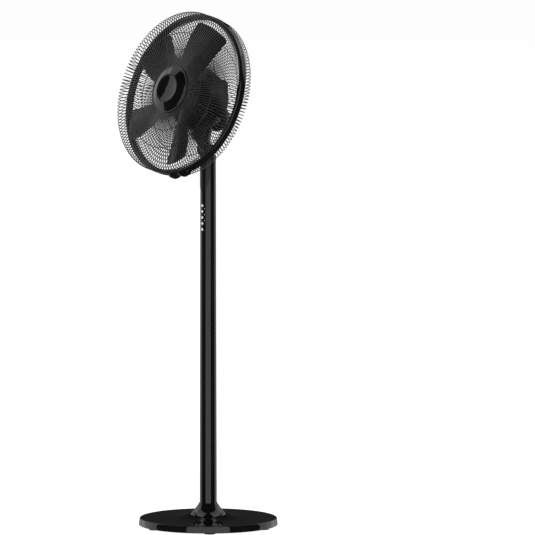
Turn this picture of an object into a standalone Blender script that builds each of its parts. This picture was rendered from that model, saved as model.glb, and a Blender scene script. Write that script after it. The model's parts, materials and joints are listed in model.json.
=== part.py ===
"""A tall pedestal fan, in metres, +Z up, blowing towards -Y, standing on z = 0 under its column.

Empties carry the moving frames: tilt_axis turns the neck about X, swing_axis turns the head about
the neck's upright axis, fan_axis is the head's own frame (+Z forwards along the shaft, +Y up), and
rotor_axis turns the blades.
"""

import math

import bmesh
import bpy
from mathutils import Matrix

# Base
BASE_RADIUS = 0.184
RIM_TOP_RADIUS = 0.1823
RIM_TOP = 0.022
FLARE_TOP = 0.062
BASE_WALL = 0.0025
FOOT_HEIGHT = 0.003
FOOT_RADIUS = 0.0155
FOOT_CIRCLE = 0.166
FOOT_COUNT = 6
FIRST_FOOT_TURN = math.radians(50)
PLATE_THICKNESS = 0.0015
WEIGHT_RADIUS = 0.172
WEIGHT_TOP = 0.0175
WEIGHT_HUB_RADIUS = 0.045
WEIGHT_HUB_TOP = 0.0115
WEIGHT_BORE_RADIUS = 0.0165
SOCKET_TOP = 0.110
SOCKET_WALL_BORE = 0.013
GLAND_HEIGHT = 0.0115
GLAND_RADIUS = 0.0054

# Column
COLUMN_FOOT_RADIUS = 0.0229
COLUMN_SEAM_RADIUS = 0.0215
COLUMN_TOP_RADIUS = 0.0207
COLUMN_SEAM = 0.691
COLUMN_TOP = 0.985
COLUMN_WALL = 0.0016
COLUMN_FOOT = 0.0385
SLEEVE_REACH = 0.052
SLEEVE_WALL = 0.002

# Controls, on the front of the upper column
BUTTON_NAMES = ("power", "speed", "swing", "timer", "mode")
TOP_BUTTON_HEIGHT = 0.855
BUTTON_PITCH = 0.0159
BUTTON_RADIUS = 0.0036
BUTTON_HOLE_RADIUS = 0.0041
BUTTON_FACE = 0.0221
LAMP_RADIUS = 0.0012
LAMP_TURN = math.radians(21)
LAMP_COUNT = 3
BOARD_FRONT = -0.0128
TRIM_LOW = 0.892
TRIM_NARROWING = 0.058
TRIM_HALF_TURN = math.radians(61)
TRIM_THICKNESS = 0.0006
TRIM_CELLS = 8

# Head frames
TILT = math.radians(19)
TILT_PIVOT = (0.0, -0.008, 1.003)
SWING_FORWARD = 0.028
SIDEWAYS = (0, math.pi / 2, 0)
FACING_FORWARD = (math.pi / 2, 0, 0)

# The tilt joint: two ears on the column's head either side of the neck's barrel
COLLAR_TOP = 0.9865
EAR_MIDDLE = 0.0125
EAR_THICKNESS = 0.0070
EAR_RADIUS = 0.0090
EAR_CLEARANCE = 0.0004
BOLT_RADIUS = 0.0028
HOOP_FORWARD = 0.116
FAN_HEIGHT = 0.1187

# Guards and hoop, as radius and distance forwards of the hoop's middle plane
HOOP_RADIUS = 0.2186
HOOP_HALF_WIDTH = 0.010
HOOP_DEPTH = 0.010
HOOP_WALL = 0.0018
CLAMP_TURN = math.radians(14.7)
CLAMP_SLIT = 0.0016
LUG_RADIUS = 0.0172
LUG_SQUASH = 0.72
LUG_HALF_WIDTH = 0.0085
LUG_AWAY = 0.0180
SCREW_OUTWARD = 0.0055
SCREW_RADIUS = 0.0018
SEAT_AWAY = 0.0185
RIB_COUNT = 16
RIB_WIDTH = 0.0035
WIRE_THICKNESS = 0.0020

# Rotor
BLADE_COUNT = 5
BLADE_TIP_RADIUS = 0.1935
BLADE_ROOT_RADIUS = 0.0442
FIRST_LEADING_TURN = math.radians(324.4)
BLADE_FRONT = 0.033
BLADE_REAR = 0.004
BLADE_THICKNESS = 0.0022
BLADE_CELLS = 5
HUB_RADIUS = 0.046
HUB_FRONT = 0.034
BOSS_RADIUS = 0.011
SHAFT_RADIUS = 0.004
DRIVE_PIN_RADIUS = 0.0012

GAP = 0.0003
NEST_GAP = 0.0009
ROUND_STEPS = 32
SMALL_STEPS = 12


def clear_scene():
    for old in list(bpy.data.objects):
        bpy.data.objects.remove(old)


def new_collection(name, hidden=False):
    collection = bpy.data.collections.new(name)
    collection.hide_render = hidden
    bpy.context.scene.collection.children.link(collection)
    return collection


def principled(name, colour, roughness, metallic=0.0):
    material = bpy.data.materials.new(name)
    material.use_nodes = True
    shader = material.node_tree.nodes["Principled BSDF"]
    shader.inputs["Base Color"].default_value = (*colour, 1.0)
    shader.inputs["Roughness"].default_value = roughness
    shader.inputs["Metallic"].default_value = metallic
    return material


clear_scene()
FAN = new_collection("pedestal_fan")
CUTTERS = new_collection("cutters", hidden=True)

GLOSS_BLACK = principled("gloss_black_plastic", (0.008, 0.008, 0.009), 0.12)
SATIN_BLACK = principled("satin_black_plastic", (0.012, 0.012, 0.013), 0.3)
WIRE_BLACK = principled("coated_wire", (0.010, 0.010, 0.011), 0.25)
KEY_WHITE = principled("key_white", (0.75, 0.76, 0.78), 0.35)
LAMP_GREY = principled("lamp_lens", (0.45, 0.47, 0.5), 0.2)
RUBBER = principled("foot_rubber", (0.02, 0.02, 0.02), 0.8)
IRON = principled("cast_iron", (0.08, 0.08, 0.08), 0.7, 0.8)
STEEL = principled("bright_steel", (0.55, 0.55, 0.56), 0.3, 1.0)
LAMINATION = principled("lamination_steel", (0.3, 0.3, 0.31), 0.5, 1.0)
NYLON = principled("white_nylon", (0.6, 0.6, 0.57), 0.5)
BOARD_GREEN = principled("circuit_board", (0.02, 0.12, 0.05), 0.5)


def axis_empty(name, parent, location, turn_x=0.0):
    empty = bpy.data.objects.new(name, None)
    empty.parent = parent
    empty.location = location
    empty.rotation_euler = (turn_x, 0.0, 0.0)
    FAN.objects.link(empty)
    return empty


TILT_AXIS = axis_empty("tilt_axis", None, TILT_PIVOT, -TILT)
SWING_AXIS = axis_empty("swing_axis", TILT_AXIS, (0.0, -SWING_FORWARD, 0.0))
FAN_PLACE = (0.0, SWING_FORWARD - HOOP_FORWARD, FAN_HEIGHT)
FAN_AXIS = axis_empty("fan_axis", SWING_AXIS, FAN_PLACE, math.pi / 2)
ROTOR_AXIS = axis_empty("rotor_axis", FAN_AXIS, (0.0, 0.0, 0.0))


def put(name, mesh, material, parent=None, location=(0, 0, 0), rotation=(0, 0, 0), collection=None):
    """Makes the object of a mesh, smooth on its round faces, in its parent's frame."""
    thing = bpy.data.objects.new(name, mesh)
    (collection or FAN).objects.link(thing)
    thing.parent = parent
    thing.location = location
    thing.rotation_euler = rotation
    if material:
        mesh.materials.append(material)
    if collection is CUTTERS:
        thing.hide_render = True
        thing.display_type = "WIRE"
    mesh.shade_smooth()
    mesh.set_sharp_from_angle(angle=math.radians(35))
    return thing


def cylinder_mesh(name, radius, low, high, steps=SMALL_STEPS, top_radius=None):
    """An upright closed cylinder or cone from z = low to z = high."""
    mesh = bpy.data.meshes.new(name)
    shape = bmesh.new()
    top = radius if top_radius is None else top_radius
    made = bmesh.ops.create_cone(
        shape, cap_ends=True, segments=steps, radius1=radius, radius2=top, depth=high - low
    )
    bmesh.ops.translate(shape, verts=made["verts"], vec=(0, 0, (high + low) / 2))
    shape.to_mesh(mesh)
    shape.free()
    return mesh


def box_mesh(name, size, centre=(0, 0, 0)):
    mesh = bpy.data.meshes.new(name)
    shape = bmesh.new()
    made = bmesh.ops.create_cube(shape, size=1.0)
    bmesh.ops.scale(shape, verts=made["verts"], vec=size)
    bmesh.ops.translate(shape, verts=made["verts"], vec=centre)
    shape.to_mesh(mesh)
    shape.free()
    return mesh


def turned(name, profile, material, parent=None, steps=ROUND_STEPS, closed=True, collection=None):
    """A profile of (radius, z) points turned about Z. It runs down the outer side and up the inner."""
    mesh = bpy.data.meshes.new(name)
    shape = bmesh.new()
    points = [shape.verts.new((radius, 0.0, z)) for radius, z in profile]
    for first, second in zip(points, points[1:]):
        shape.edges.new((first, second))
    if closed:
        shape.edges.new((points[-1], points[0]))
    shape.to_mesh(mesh)
    shape.free()
    thing = put(name, mesh, material, parent, collection=collection)
    screw = thing.modifiers.new("turn", "SCREW")
    screw.steps = steps
    screw.render_steps = steps
    screw.use_merge_vertices = True
    screw.merge_threshold = 0.00001
    return thing


def boolean(thing, other, operation="DIFFERENCE"):
    modifier = thing.modifiers.new(operation.lower(), "BOOLEAN")
    modifier.operation = operation
    modifier.object = other
    return modifier


def cutter(name, mesh, parent=None, location=(0, 0, 0), rotation=(0, 0, 0)):
    return put(name, mesh, None, parent, location, rotation, CUTTERS)


def sheet_mesh(name, columns, rows, place, keep, joined=False):
    """A grid of columns by rows cells, kept where keep(column, row) is true, with every corner moved
    to place(column, row), and its two sides joined where it runs all the way round."""
    mesh = bpy.data.meshes.new(name)
    shape = bmesh.new()
    bmesh.ops.create_grid(shape, x_segments=columns, y_segments=rows, size=0.5)
    dropped = []
    for face in shape.faces:
        centre = face.calc_center_median()
        column = int((centre.x + 0.5) * columns)
        row = int((centre.y + 0.5) * rows)
        if not keep(column, row):
            dropped.append(face)
    bmesh.ops.delete(shape, geom=dropped, context="FACES")
    for point in shape.verts:
        column = round((point.co.x + 0.5) * columns)
        row = round((point.co.y + 0.5) * rows)
        point.co = place(column, row)
    if joined:
        bmesh.ops.remove_doubles(shape, verts=shape.verts, dist=0.00001)
    bmesh.ops.recalc_face_normals(shape, faces=shape.faces)
    shape.to_mesh(mesh)
    shape.free()
    return mesh


def thicken(thing, thickness):
    solid = thing.modifiers.new("wall", "SOLIDIFY")
    solid.thickness = thickness
    solid.offset = 0.0
    return thing


# ---------------------------------------------------------------- base


def flare_height(radius):
    """Height of the cover's top above the rim: it falls off as a power of the way out to the rim."""
    way_out = (radius - 0.024) / (RIM_TOP_RADIUS - 0.024)
    return (FLARE_TOP - RIM_TOP) * math.exp(-6.2 * way_out) * (1.0 - way_out)


def base_cover():
    radii = [0.0243, 0.0285, 0.035, 0.046, 0.065, 0.095, 0.130, RIM_TOP_RADIUS - 0.002]
    outer = [(radius, RIM_TOP + flare_height(radius)) for radius in radii]
    outer += [(RIM_TOP_RADIUS, RIM_TOP - 0.002), (BASE_RADIUS, FOOT_HEIGHT)]
    inner = [(BASE_RADIUS - BASE_WALL, FOOT_HEIGHT), (RIM_TOP_RADIUS - BASE_WALL, RIM_TOP - BASE_WALL)]
    inner += [(radius, RIM_TOP + flare_height(radius) - BASE_WALL) for radius in reversed(radii[3:-1])]
    inner += [(radii[1], FLARE_TOP - 0.024), (radii[0], FLARE_TOP - 0.024)]
    return turned("base_cover", outer + inner, GLOSS_BLACK, steps=40)


def base_plate():
    high = FOOT_HEIGHT + PLATE_THICKNESS
    radius = BASE_RADIUS - BASE_WALL - 0.0006
    plate = put("base_bottom_plate", cylinder_mesh("plate", radius, FOOT_HEIGHT, high, 40), STEEL)
    return plate


def base_weight():
    low = FOOT_HEIGHT + PLATE_THICKNESS + GAP
    profile = [
        (WEIGHT_HUB_RADIUS, WEIGHT_TOP),
        (WEIGHT_RADIUS, WEIGHT_TOP),
        (WEIGHT_RADIUS, low),
        (WEIGHT_BORE_RADIUS, low),
        (WEIGHT_BORE_RADIUS, WEIGHT_HUB_TOP),
        (WEIGHT_HUB_RADIUS, WEIGHT_HUB_TOP),
    ]
    return turned("base_weight", profile, IRON, steps=24)


def feet():
    for number in range(FOOT_COUNT):
        turn = FIRST_FOOT_TURN + number * math.tau / FOOT_COUNT
        place = (FOOT_CIRCLE * math.sin(turn), -FOOT_CIRCLE * math.cos(turn), 0.0)
        mesh = cylinder_mesh("foot", FOOT_RADIUS - 0.0008, 0.0, FOOT_HEIGHT - GAP, 16, FOOT_RADIUS)
        put(f"foot_{number + 1}", mesh, RUBBER, location=place)


def column_socket():
    """The steel spigot that stands on the bottom plate inside the collar and carries the column."""
    low = FOOT_HEIGHT + PLATE_THICKNESS + GAP
    outer = COLUMN_FOOT_RADIUS - COLUMN_WALL - NEST_GAP
    shoulder = WEIGHT_HUB_TOP + GAP
    spigot = WEIGHT_BORE_RADIUS - 0.0005
    profile = [
        (outer, SOCKET_TOP),
        (outer, shoulder),
        (spigot, shoulder),
        (spigot, low),
        (SOCKET_WALL_BORE, low),
        (SOCKET_WALL_BORE, SOCKET_TOP),
    ]
    return turned("column_socket", profile, STEEL, steps=20)


def cord_gland():
    """The gland at the rear of the base, through a hole in the rim."""
    place = (0.0, BASE_RADIUS - 0.006, GLAND_HEIGHT)
    facing_back = (-math.pi / 2, 0, 0)
    hole = cylinder_mesh("gland_hole", GLAND_RADIUS + 0.0004, -0.008, 0.012, 16)
    boolean(bpy.data.objects["base_cover"], cutter("gland_hole", hole, None, place, facing_back))
    mesh = cylinder_mesh("gland", GLAND_RADIUS, -0.004, 0.0045, 16, GLAND_RADIUS - 0.0009)
    put("cord_gland", mesh, SATIN_BLACK, None, place, facing_back)


# ---------------------------------------------------------------- column


def tube(name, low, high, low_radius, high_radius):
    profile = [
        (high_radius, high),
        (low_radius, low),
        (low_radius - COLUMN_WALL, low),
        (high_radius - COLUMN_WALL, high),
    ]
    return turned(name, profile, GLOSS_BLACK, steps=24)


def columns():
    """The lower tube, which comes out for the short height, the upper tube, and the sleeve inside both."""
    tube("extension_column", COLUMN_FOOT, COLUMN_SEAM - GAP, COLUMN_FOOT_RADIUS, COLUMN_SEAM_RADIUS)
    tube("upper_column", COLUMN_SEAM, COLUMN_TOP, COLUMN_SEAM_RADIUS, COLUMN_TOP_RADIUS)
    radius = COLUMN_SEAM_RADIUS - COLUMN_WALL - NEST_GAP
    high = COLUMN_SEAM + SLEEVE_REACH
    low = COLUMN_SEAM - SLEEVE_REACH
    profile = [(radius, high), (radius, low), (radius - SLEEVE_WALL, low), (radius - SLEEVE_WALL, high)]
    turned("coupling_sleeve", profile, STEEL, steps=20)


def column_radius(height):
    share = (height - COLUMN_SEAM) / (COLUMN_TOP - COLUMN_SEAM)
    return COLUMN_SEAM_RADIUS + (COLUMN_TOP_RADIUS - COLUMN_SEAM_RADIUS) * share


def button_height(number):
    return TOP_BUTTON_HEIGHT - number * BUTTON_PITCH


def buttons():
    """The keys in holes in the column's front, each with a flange behind the wall."""
    column = bpy.data.objects["upper_column"]
    for number, name in enumerate(BUTTON_NAMES):
        place = (0.0, 0.0, button_height(number))
        hole = cylinder_mesh("key_hole", BUTTON_HOLE_RADIUS, 0.012, 0.030, SMALL_STEPS)
        boolean(column, cutter(f"{name}_hole", hole, None, place, FACING_FORWARD))
        mesh = cylinder_mesh("key", BUTTON_RADIUS, 0.0175, BUTTON_FACE)
        key = put(f"button_{name}", mesh, KEY_WHITE, None, place, FACING_FORWARD)
        flange = cylinder_mesh("flange", BUTTON_RADIUS + 0.0014, 0.0148, 0.0178)
        boolean(key, cutter(f"{name}_flange", flange, None, place, FACING_FORWARD), "UNION")


def indicator_lamps():
    column = bpy.data.objects["upper_column"]
    for number in range(LAMP_COUNT):
        height = button_height(number) - BUTTON_PITCH / 2
        turn = (math.pi / 2, 0.0, LAMP_TURN)
        hole = cylinder_mesh("lamp_hole", LAMP_RADIUS + GAP, 0.012, 0.030, 12)
        boolean(column, cutter(f"lamp_hole_{number + 1}", hole, None, (0, 0, height), turn))
        lamp = cylinder_mesh("lamp", LAMP_RADIUS, 0.0165, 0.0213, 12)
        put(f"indicator_lens_{number + 1}", lamp, LAMP_GREY, None, (0, 0, height), turn)


def control_board():
    middle = button_height(2)
    thickness = 0.0016
    mesh = box_mesh("board", (0.022, thickness, 0.110), (0.0, BOARD_FRONT + thickness / 2, middle))
    put("control_board", mesh, BOARD_GREEN)


def front_trim():
    """The thin trim piece on the front of the column's top, which narrows to a point below."""

    def place(column, row):
        height = TRIM_LOW + (COLUMN_TOP - 0.001 - TRIM_LOW) * (row / TRIM_CELLS) ** 2
        rise = min(1.0, (height - TRIM_LOW) / TRIM_NARROWING)
        reach = TRIM_HALF_TURN * max(0.06, math.sqrt(rise * (2.0 - rise)))
        turn = reach * (2.0 * column / TRIM_CELLS - 1.0)
        radius = column_radius(height) + GAP + 0.0004
        return (radius * math.sin(turn), -radius * math.cos(turn), height)

    mesh = sheet_mesh("trim", TRIM_CELLS, TRIM_CELLS, place, lambda column, row: True)
    thicken(put("column_front_trim", mesh, GLOSS_BLACK), TRIM_THICKNESS)


def column_head():
    """The plug in the column's top, with the two ears that hold the neck."""
    radius = COLUMN_TOP_RADIUS - COLUMN_WALL - NEST_GAP
    mesh = cylinder_mesh("plug", radius, COLUMN_TOP - 0.040, COLUMN_TOP + GAP, 20)
    plug = put("column_head", mesh, SATIN_BLACK)
    collar_low = COLUMN_TOP + GAP
    collar = cylinder_mesh("collar", COLUMN_TOP_RADIUS, collar_low, COLLAR_TOP, 24)
    boolean(plug, cutter("head_collar", collar), "UNION")
    ear_foot = COLUMN_TOP + 0.0008
    ear_size = (EAR_THICKNESS, 2 * EAR_RADIUS, TILT_PIVOT[2] - ear_foot)
    for side in (-1, 1):
        middle = (side * EAR_MIDDLE, TILT_PIVOT[1], (TILT_PIVOT[2] + ear_foot) / 2)
        boolean(plug, cutter(f"ear_{side + 2}", box_mesh("ear", ear_size, middle)), "UNION")
        top = cylinder_mesh("ear_top", EAR_RADIUS, -EAR_THICKNESS / 2, EAR_THICKNESS / 2, 16)
        place = (side * EAR_MIDDLE, TILT_PIVOT[1], TILT_PIVOT[2])
        boolean(plug, cutter(f"ear_top_{side + 2}", top, None, place, SIDEWAYS), "UNION")
    bore = cylinder_mesh("tilt_bore", BOLT_RADIUS + GAP, -0.030, 0.030, 12)
    boolean(plug, cutter("tilt_bore", bore, None, TILT_PIVOT, SIDEWAYS))
    lead_way = cylinder_mesh("lead_way", 0.0045, COLUMN_TOP - 0.045, COLUMN_TOP + 0.010, 12)
    boolean(plug, cutter("lead_way", lead_way, None, (0.0, 0.011, 0.0)))


# ---------------------------------------------------------------- neck and swing

CUP_RADIUS = 0.0262
CUP_WALL = 0.003
CUP_LOW = 0.0175
CUP_FLOOR = 0.020
CUP_TOP = 0.036
SWING_GEAR_RADIUS = 0.0105
SWING_PINION_RADIUS = 0.00525
SWING_MOTOR_BACK = 0.0140
SWING_MOTOR_RADIUS = 0.0082
SWING_SHAFT_RADIUS = 0.0012
FOOT_BOSS_RADIUS = 0.0254
TOOTH_HEIGHT = 0.0008
SWING_GEAR_TEETH = 18
SWING_PINION_TEETH = 9
GEAR_CLEARANCE = 0.0004
GEAR_LOW = 0.0235
GEAR_HIGH = 0.0285
ARM_SIDES = 20
PIN_RADIUS = 0.0040
BARREL_RADIUS = 0.0150
BARREL_HALF = 0.0190
# The arm's rings: place forwards (-Y) and up, half widths across and along, and lean
ARM_RINGS = (
    (-0.0010, 0.0010, 0.0186, 0.0142, math.radians(38)),
    (-0.0090, 0.0110, 0.0192, 0.0165, math.radians(32)),
    (-0.0190, 0.0190, 0.0228, 0.0215, math.radians(16)),
    (-SWING_FORWARD, 0.0240, 0.0258, 0.0258, 0.0),
    (-SWING_FORWARD, 0.0300, 0.0258, 0.0258, 0.0),
)


def arm_mesh():
    """The arm's outside: oval rings along a bent line, joined in turn and closed at both ends."""
    mesh = bpy.data.meshes.new("arm")
    shape = bmesh.new()
    rings = []
    for y, z, half_x, half_y, lean in ARM_RINGS:
        ring = []
        for step in range(ARM_SIDES):
            turn = math.tau * step / ARM_SIDES
            across = half_y * math.sin(turn)
            point = (half_x * math.cos(turn), y + across * math.cos(lean), z + across * math.sin(lean))
            ring.append(shape.verts.new(point))
        rings.append(ring)
    for low, high in zip(rings, rings[1:]):
        for step in range(ARM_SIDES):
            after = (step + 1) % ARM_SIDES
            shape.faces.new((low[step], low[after], high[after], high[step]))
    shape.faces.new(rings[0])
    shape.faces.new(rings[-1])
    bmesh.ops.recalc_face_normals(shape, faces=shape.faces)
    shape.to_mesh(mesh)
    shape.free()
    return mesh


def neck():
    """A barrel round the tilt bolt, with a stout arm up and forwards to the cup that the head turns in."""
    mesh = cylinder_mesh("barrel", BARREL_RADIUS, -BARREL_HALF, BARREL_HALF, 24)
    barrel = put("neck", mesh, GLOSS_BLACK, TILT_AXIS, (0, 0, 0), SIDEWAYS)
    boolean(barrel, cutter("arm", arm_mesh(), TILT_AXIS), "UNION")
    at_swing = (0, -SWING_FORWARD, 0)
    cup = cylinder_mesh("cup", CUP_RADIUS, CUP_LOW, CUP_TOP, 24)
    boolean(barrel, cutter("cup", cup, TILT_AXIS, at_swing), "UNION")
    hollow = cylinder_mesh("hollow", CUP_RADIUS - CUP_WALL, CUP_FLOOR, CUP_TOP + 0.024, 24)
    boolean(barrel, cutter("cup_hollow", hollow, TILT_AXIS, at_swing))
    pin_hole = cylinder_mesh("pin_hole", PIN_RADIUS + GAP, 0.0, 0.030, 12)
    boolean(barrel, cutter("pin_hole", pin_hole, TILT_AXIS, at_swing))
    for side in (-1, 1):
        place = (side * EAR_MIDDLE, 0, 0)
        slot_width = EAR_THICKNESS + 2 * EAR_CLEARANCE
        ear_room = cylinder_mesh("ear_room", EAR_RADIUS + 0.0019, -slot_width / 2, slot_width / 2, 24)
        boolean(barrel, cutter(f"ear_room_{side + 2}", ear_room, TILT_AXIS, place, SIDEWAYS))
        slot = box_mesh("ear_slot", (slot_width, 0.048, 0.024), (0, 0, -0.012))
        boolean(barrel, cutter(f"ear_slot_{side + 2}", slot, TILT_AXIS, place))
        seat = cylinder_mesh("fastening_room", 0.0063, 0.010, 0.030, 20)
        turn = (0, side * math.pi / 2, 0)
        boolean(barrel, cutter(f"fastening_room_{side + 2}", seat, TILT_AXIS, (0, 0, 0), turn))
    bore = cylinder_mesh("barrel_bore", BOLT_RADIUS + GAP, -0.030, 0.030, 12)
    boolean(barrel, cutter("barrel_bore", bore, TILT_AXIS, (0, 0, 0), SIDEWAYS))


def tilt_fastening():
    """The bolt through both ears and the barrel between them, its head and its nut against the ears."""
    outside = EAR_MIDDLE + EAR_THICKNESS / 2 + GAP
    mesh = cylinder_mesh("bolt", BOLT_RADIUS, -outside - 0.0036, outside + 0.0005, 16)
    bolt = put("tilt_bolt", mesh, STEEL, None, TILT_PIVOT, SIDEWAYS)
    head = cylinder_mesh("bolt_head", 0.0055, outside, outside + 0.0026, 20)
    boolean(bolt, cutter("bolt_head", head, None, TILT_PIVOT, SIDEWAYS), "UNION")
    nut = cylinder_mesh("nut", 0.0058, -outside - 0.0030, -outside, 6)
    tilt_nut = put("tilt_nut", nut, STEEL, None, TILT_PIVOT, SIDEWAYS)
    hole = cylinder_mesh("nut_hole", BOLT_RADIUS + 0.0002, -0.03, 0.0, 16)
    boolean(tilt_nut, cutter("nut_hole", hole, None, TILT_PIVOT, SIDEWAYS))


def wavy_gear(name, radius, teeth, bore, location, parent, first_turn):
    """A gear whose outline is its pitch circle plus a sine wave, one wave a tooth."""
    steps = teeth * 4
    mesh = bpy.data.meshes.new(name)
    shape = bmesh.new()
    outline = []
    for step in range(steps):
        turn = math.tau * step / steps
        reach = radius + TOOTH_HEIGHT * math.cos(teeth * (turn - first_turn))
        outline.append(shape.verts.new((reach * math.cos(turn), reach * math.sin(turn), GEAR_LOW)))
    face = shape.faces.new(outline)
    made = bmesh.ops.extrude_face_region(shape, geom=[face])
    raised = [item for item in made["geom"] if isinstance(item, bmesh.types.BMVert)]
    bmesh.ops.translate(shape, verts=raised, vec=(0, 0, GEAR_HIGH - GEAR_LOW))
    bmesh.ops.recalc_face_normals(shape, faces=shape.faces)
    shape.to_mesh(mesh)
    shape.free()
    gear = put(name, mesh, NYLON, parent, location)
    hole = cylinder_mesh(f"{name}_bore", bore, GEAR_LOW - 0.01, GEAR_HIGH + 0.01, 16)
    boolean(gear, cutter(f"{name}_bore", hole, parent, location))


def swing_drive():
    """A fixed gear round the swing pin, and the head's pinion, which rolls round behind it."""
    at_swing = (0, -SWING_FORWARD, 0)
    pin = cylinder_mesh("pin", PIN_RADIUS, CUP_LOW + GAP, 0.0412, 16)
    put("swing_pin", pin, STEEL, TILT_AXIS, at_swing)
    tooth_back = math.pi / 2
    gear_bore = PIN_RADIUS + GAP
    wavy_gear("swing_gear", SWING_GEAR_RADIUS, SWING_GEAR_TEETH, gear_bore, at_swing, TILT_AXIS, tooth_back)
    at_pinion = (0, SWING_GEAR_RADIUS + SWING_PINION_RADIUS + GEAR_CLEARANCE, 0)
    teeth = SWING_PINION_TEETH
    gap_forward = -math.pi / 2 + math.pi / teeth
    pinion_bore = SWING_SHAFT_RADIUS + GAP
    wavy_gear("swing_pinion", SWING_PINION_RADIUS, teeth, pinion_bore, at_pinion, SWING_AXIS, gap_forward)
    mesh = cylinder_mesh("swing_motor", SWING_MOTOR_RADIUS, 0.0378, 0.0435, 20)
    motor = put("swing_motor", mesh, STEEL, SWING_AXIS, (0, SWING_MOTOR_BACK, 0))
    shaft = cylinder_mesh("swing_shaft", SWING_SHAFT_RADIUS, GEAR_LOW + GAP, 0.0400, 12)
    boolean(motor, cutter("swing_shaft", shaft, SWING_AXIS, at_pinion), "UNION")


# ---------------------------------------------------------------- motor

MOTOR_FRONT = -0.022
MOTOR_SPLIT = -0.0415
MOTOR_RADIUS = 0.082
MOTOR_WALL = 0.0025
PLATE_REAR = -0.0443
MOTOR_REAR = -0.112
BEARING_SEAT_RADIUS = 0.0115
HOUSING_SIZES = (0.040, 0.036, 0.038)
HOUSING_WALL = 0.0025
HOUSING_BELOW = 0.030
HOUSING_BEHIND = 0.122
VENT_COUNT = 6
# The rear shell's outer line, as radius and distance forwards
REAR_SHELL = (
    (0.0800, PLATE_REAR),
    (0.0790, -0.058),
    (0.0755, -0.074),
    (0.0680, -0.091),
    (0.0560, -0.104),
    (0.0400, -0.111),
)


def motor_covers():
    front = [
        (0.070, MOTOR_FRONT),
        (0.078, MOTOR_FRONT - 0.002),
        (MOTOR_RADIUS, MOTOR_FRONT - 0.007),
        (MOTOR_RADIUS, -0.034),
        (MOTOR_RADIUS - 0.0015, MOTOR_SPLIT),
        (MOTOR_RADIUS - 0.0040, MOTOR_SPLIT),
        (MOTOR_RADIUS - 0.0030, -0.034),
        (MOTOR_RADIUS - 0.0035, -0.029),
        (0.076, -0.0268),
        (0.070, MOTOR_FRONT - MOTOR_WALL),
        (BEARING_SEAT_RADIUS, MOTOR_FRONT - MOTOR_WALL),
        (BEARING_SEAT_RADIUS, MOTOR_FRONT),
    ]
    turned("motor_front_cover", front, GLOSS_BLACK, FAN_AXIS, steps=24)
    back = [(0.012, MOTOR_REAR), (0.012, MOTOR_REAR + MOTOR_WALL)]
    inner = [(radius - MOTOR_WALL + 0.0005, z + MOTOR_WALL * 0.8) for radius, z in reversed(REAR_SHELL[1:])]
    rear = list(REAR_SHELL) + back + inner + [(REAR_SHELL[0][0] - MOTOR_WALL, PLATE_REAR)]
    cover = turned("motor_rear_cover", rear, GLOSS_BLACK, FAN_AXIS, steps=24)
    slot = box_mesh("vent", (0.004, 0.030, 0.030), (0.0, 0.040, MOTOR_REAR))
    for number in range(VENT_COUNT):
        turn = (0, 0, (number + 0.5) * math.tau / VENT_COUNT)
        boolean(cover, cutter(f"vent_{number + 1}", slot, FAN_AXIS, (0, 0, 0), turn))


def motor_foot():
    """The boss under the motor, hollowed for the swing motor, with a saddle that fits the rear cover."""
    mesh = cylinder_mesh("boss", FOOT_BOSS_RADIUS, CUP_TOP + 0.0006, 0.0660, 24)
    boss = put("motor_foot", mesh, GLOSS_BLACK, SWING_AXIS)
    outline = [(radius + GAP, z) for radius, z in REAR_SHELL]
    outline += [(REAR_SHELL[-1][0], MOTOR_REAR - 0.001), (0.0, MOTOR_REAR - 0.001), (0.0, PLATE_REAR)]
    boolean(boss, turned("motor_outline", outline, None, FAN_AXIS, 24, collection=CUTTERS))
    bore = cylinder_mesh("swing_bore", PIN_RADIUS + GAP, 0.0, 0.0449, 16)
    boolean(boss, cutter("swing_bore", bore, SWING_AXIS))
    pocket = cylinder_mesh("swing_pocket", SWING_MOTOR_RADIUS + 0.0004, 0.0, 0.0504, 20)
    boolean(boss, cutter("swing_pocket", pocket, SWING_AXIS, (0, SWING_MOTOR_BACK, 0)))


def rounded_body(name, half_sizes):
    """A ball stretched to these half sizes across, up and along."""
    mesh = bpy.data.meshes.new(name)
    shape = bmesh.new()
    bmesh.ops.create_uvsphere(shape, u_segments=28, v_segments=16, radius=1.0)
    bmesh.ops.scale(shape, verts=shape.verts, vec=half_sizes)
    shape.to_mesh(mesh)
    shape.free()
    return mesh


def gear_housing():
    """The round hollow housing behind and below the motor, open where it meets the rear cover."""
    place = (0.0, -HOUSING_BELOW, -HOUSING_BEHIND)
    housing = put("gear_housing", rounded_body("housing", HOUSING_SIZES), GLOSS_BLACK, FAN_AXIS, place)
    inner_sizes = [size - HOUSING_WALL for size in HOUSING_SIZES]
    boolean(housing, cutter("housing_room", rounded_body("housing_room", inner_sizes), FAN_AXIS, place))
    outline = [(radius + GAP, z) for radius, z in REAR_SHELL]
    outline += [(0.0403, MOTOR_REAR - GAP), (0.0, MOTOR_REAR - GAP), (0.0, PLATE_REAR)]
    boolean(housing, turned("housing_front", outline, None, FAN_AXIS, 24, collection=CUTTERS))
    boss_room = cylinder_mesh("boss_room", FOOT_BOSS_RADIUS + GAP, CUP_TOP, 0.0664, 24)
    boolean(housing, cutter("boss_room", boss_room, SWING_AXIS))


def turned_ring(name, outer, inner, low, high, material, parent, steps=16):
    """A plain ring of rectangular section from z = low to z = high."""
    return turned(name, [(outer, high), (outer, low), (inner, low), (inner, high)], material, parent, steps)


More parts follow.
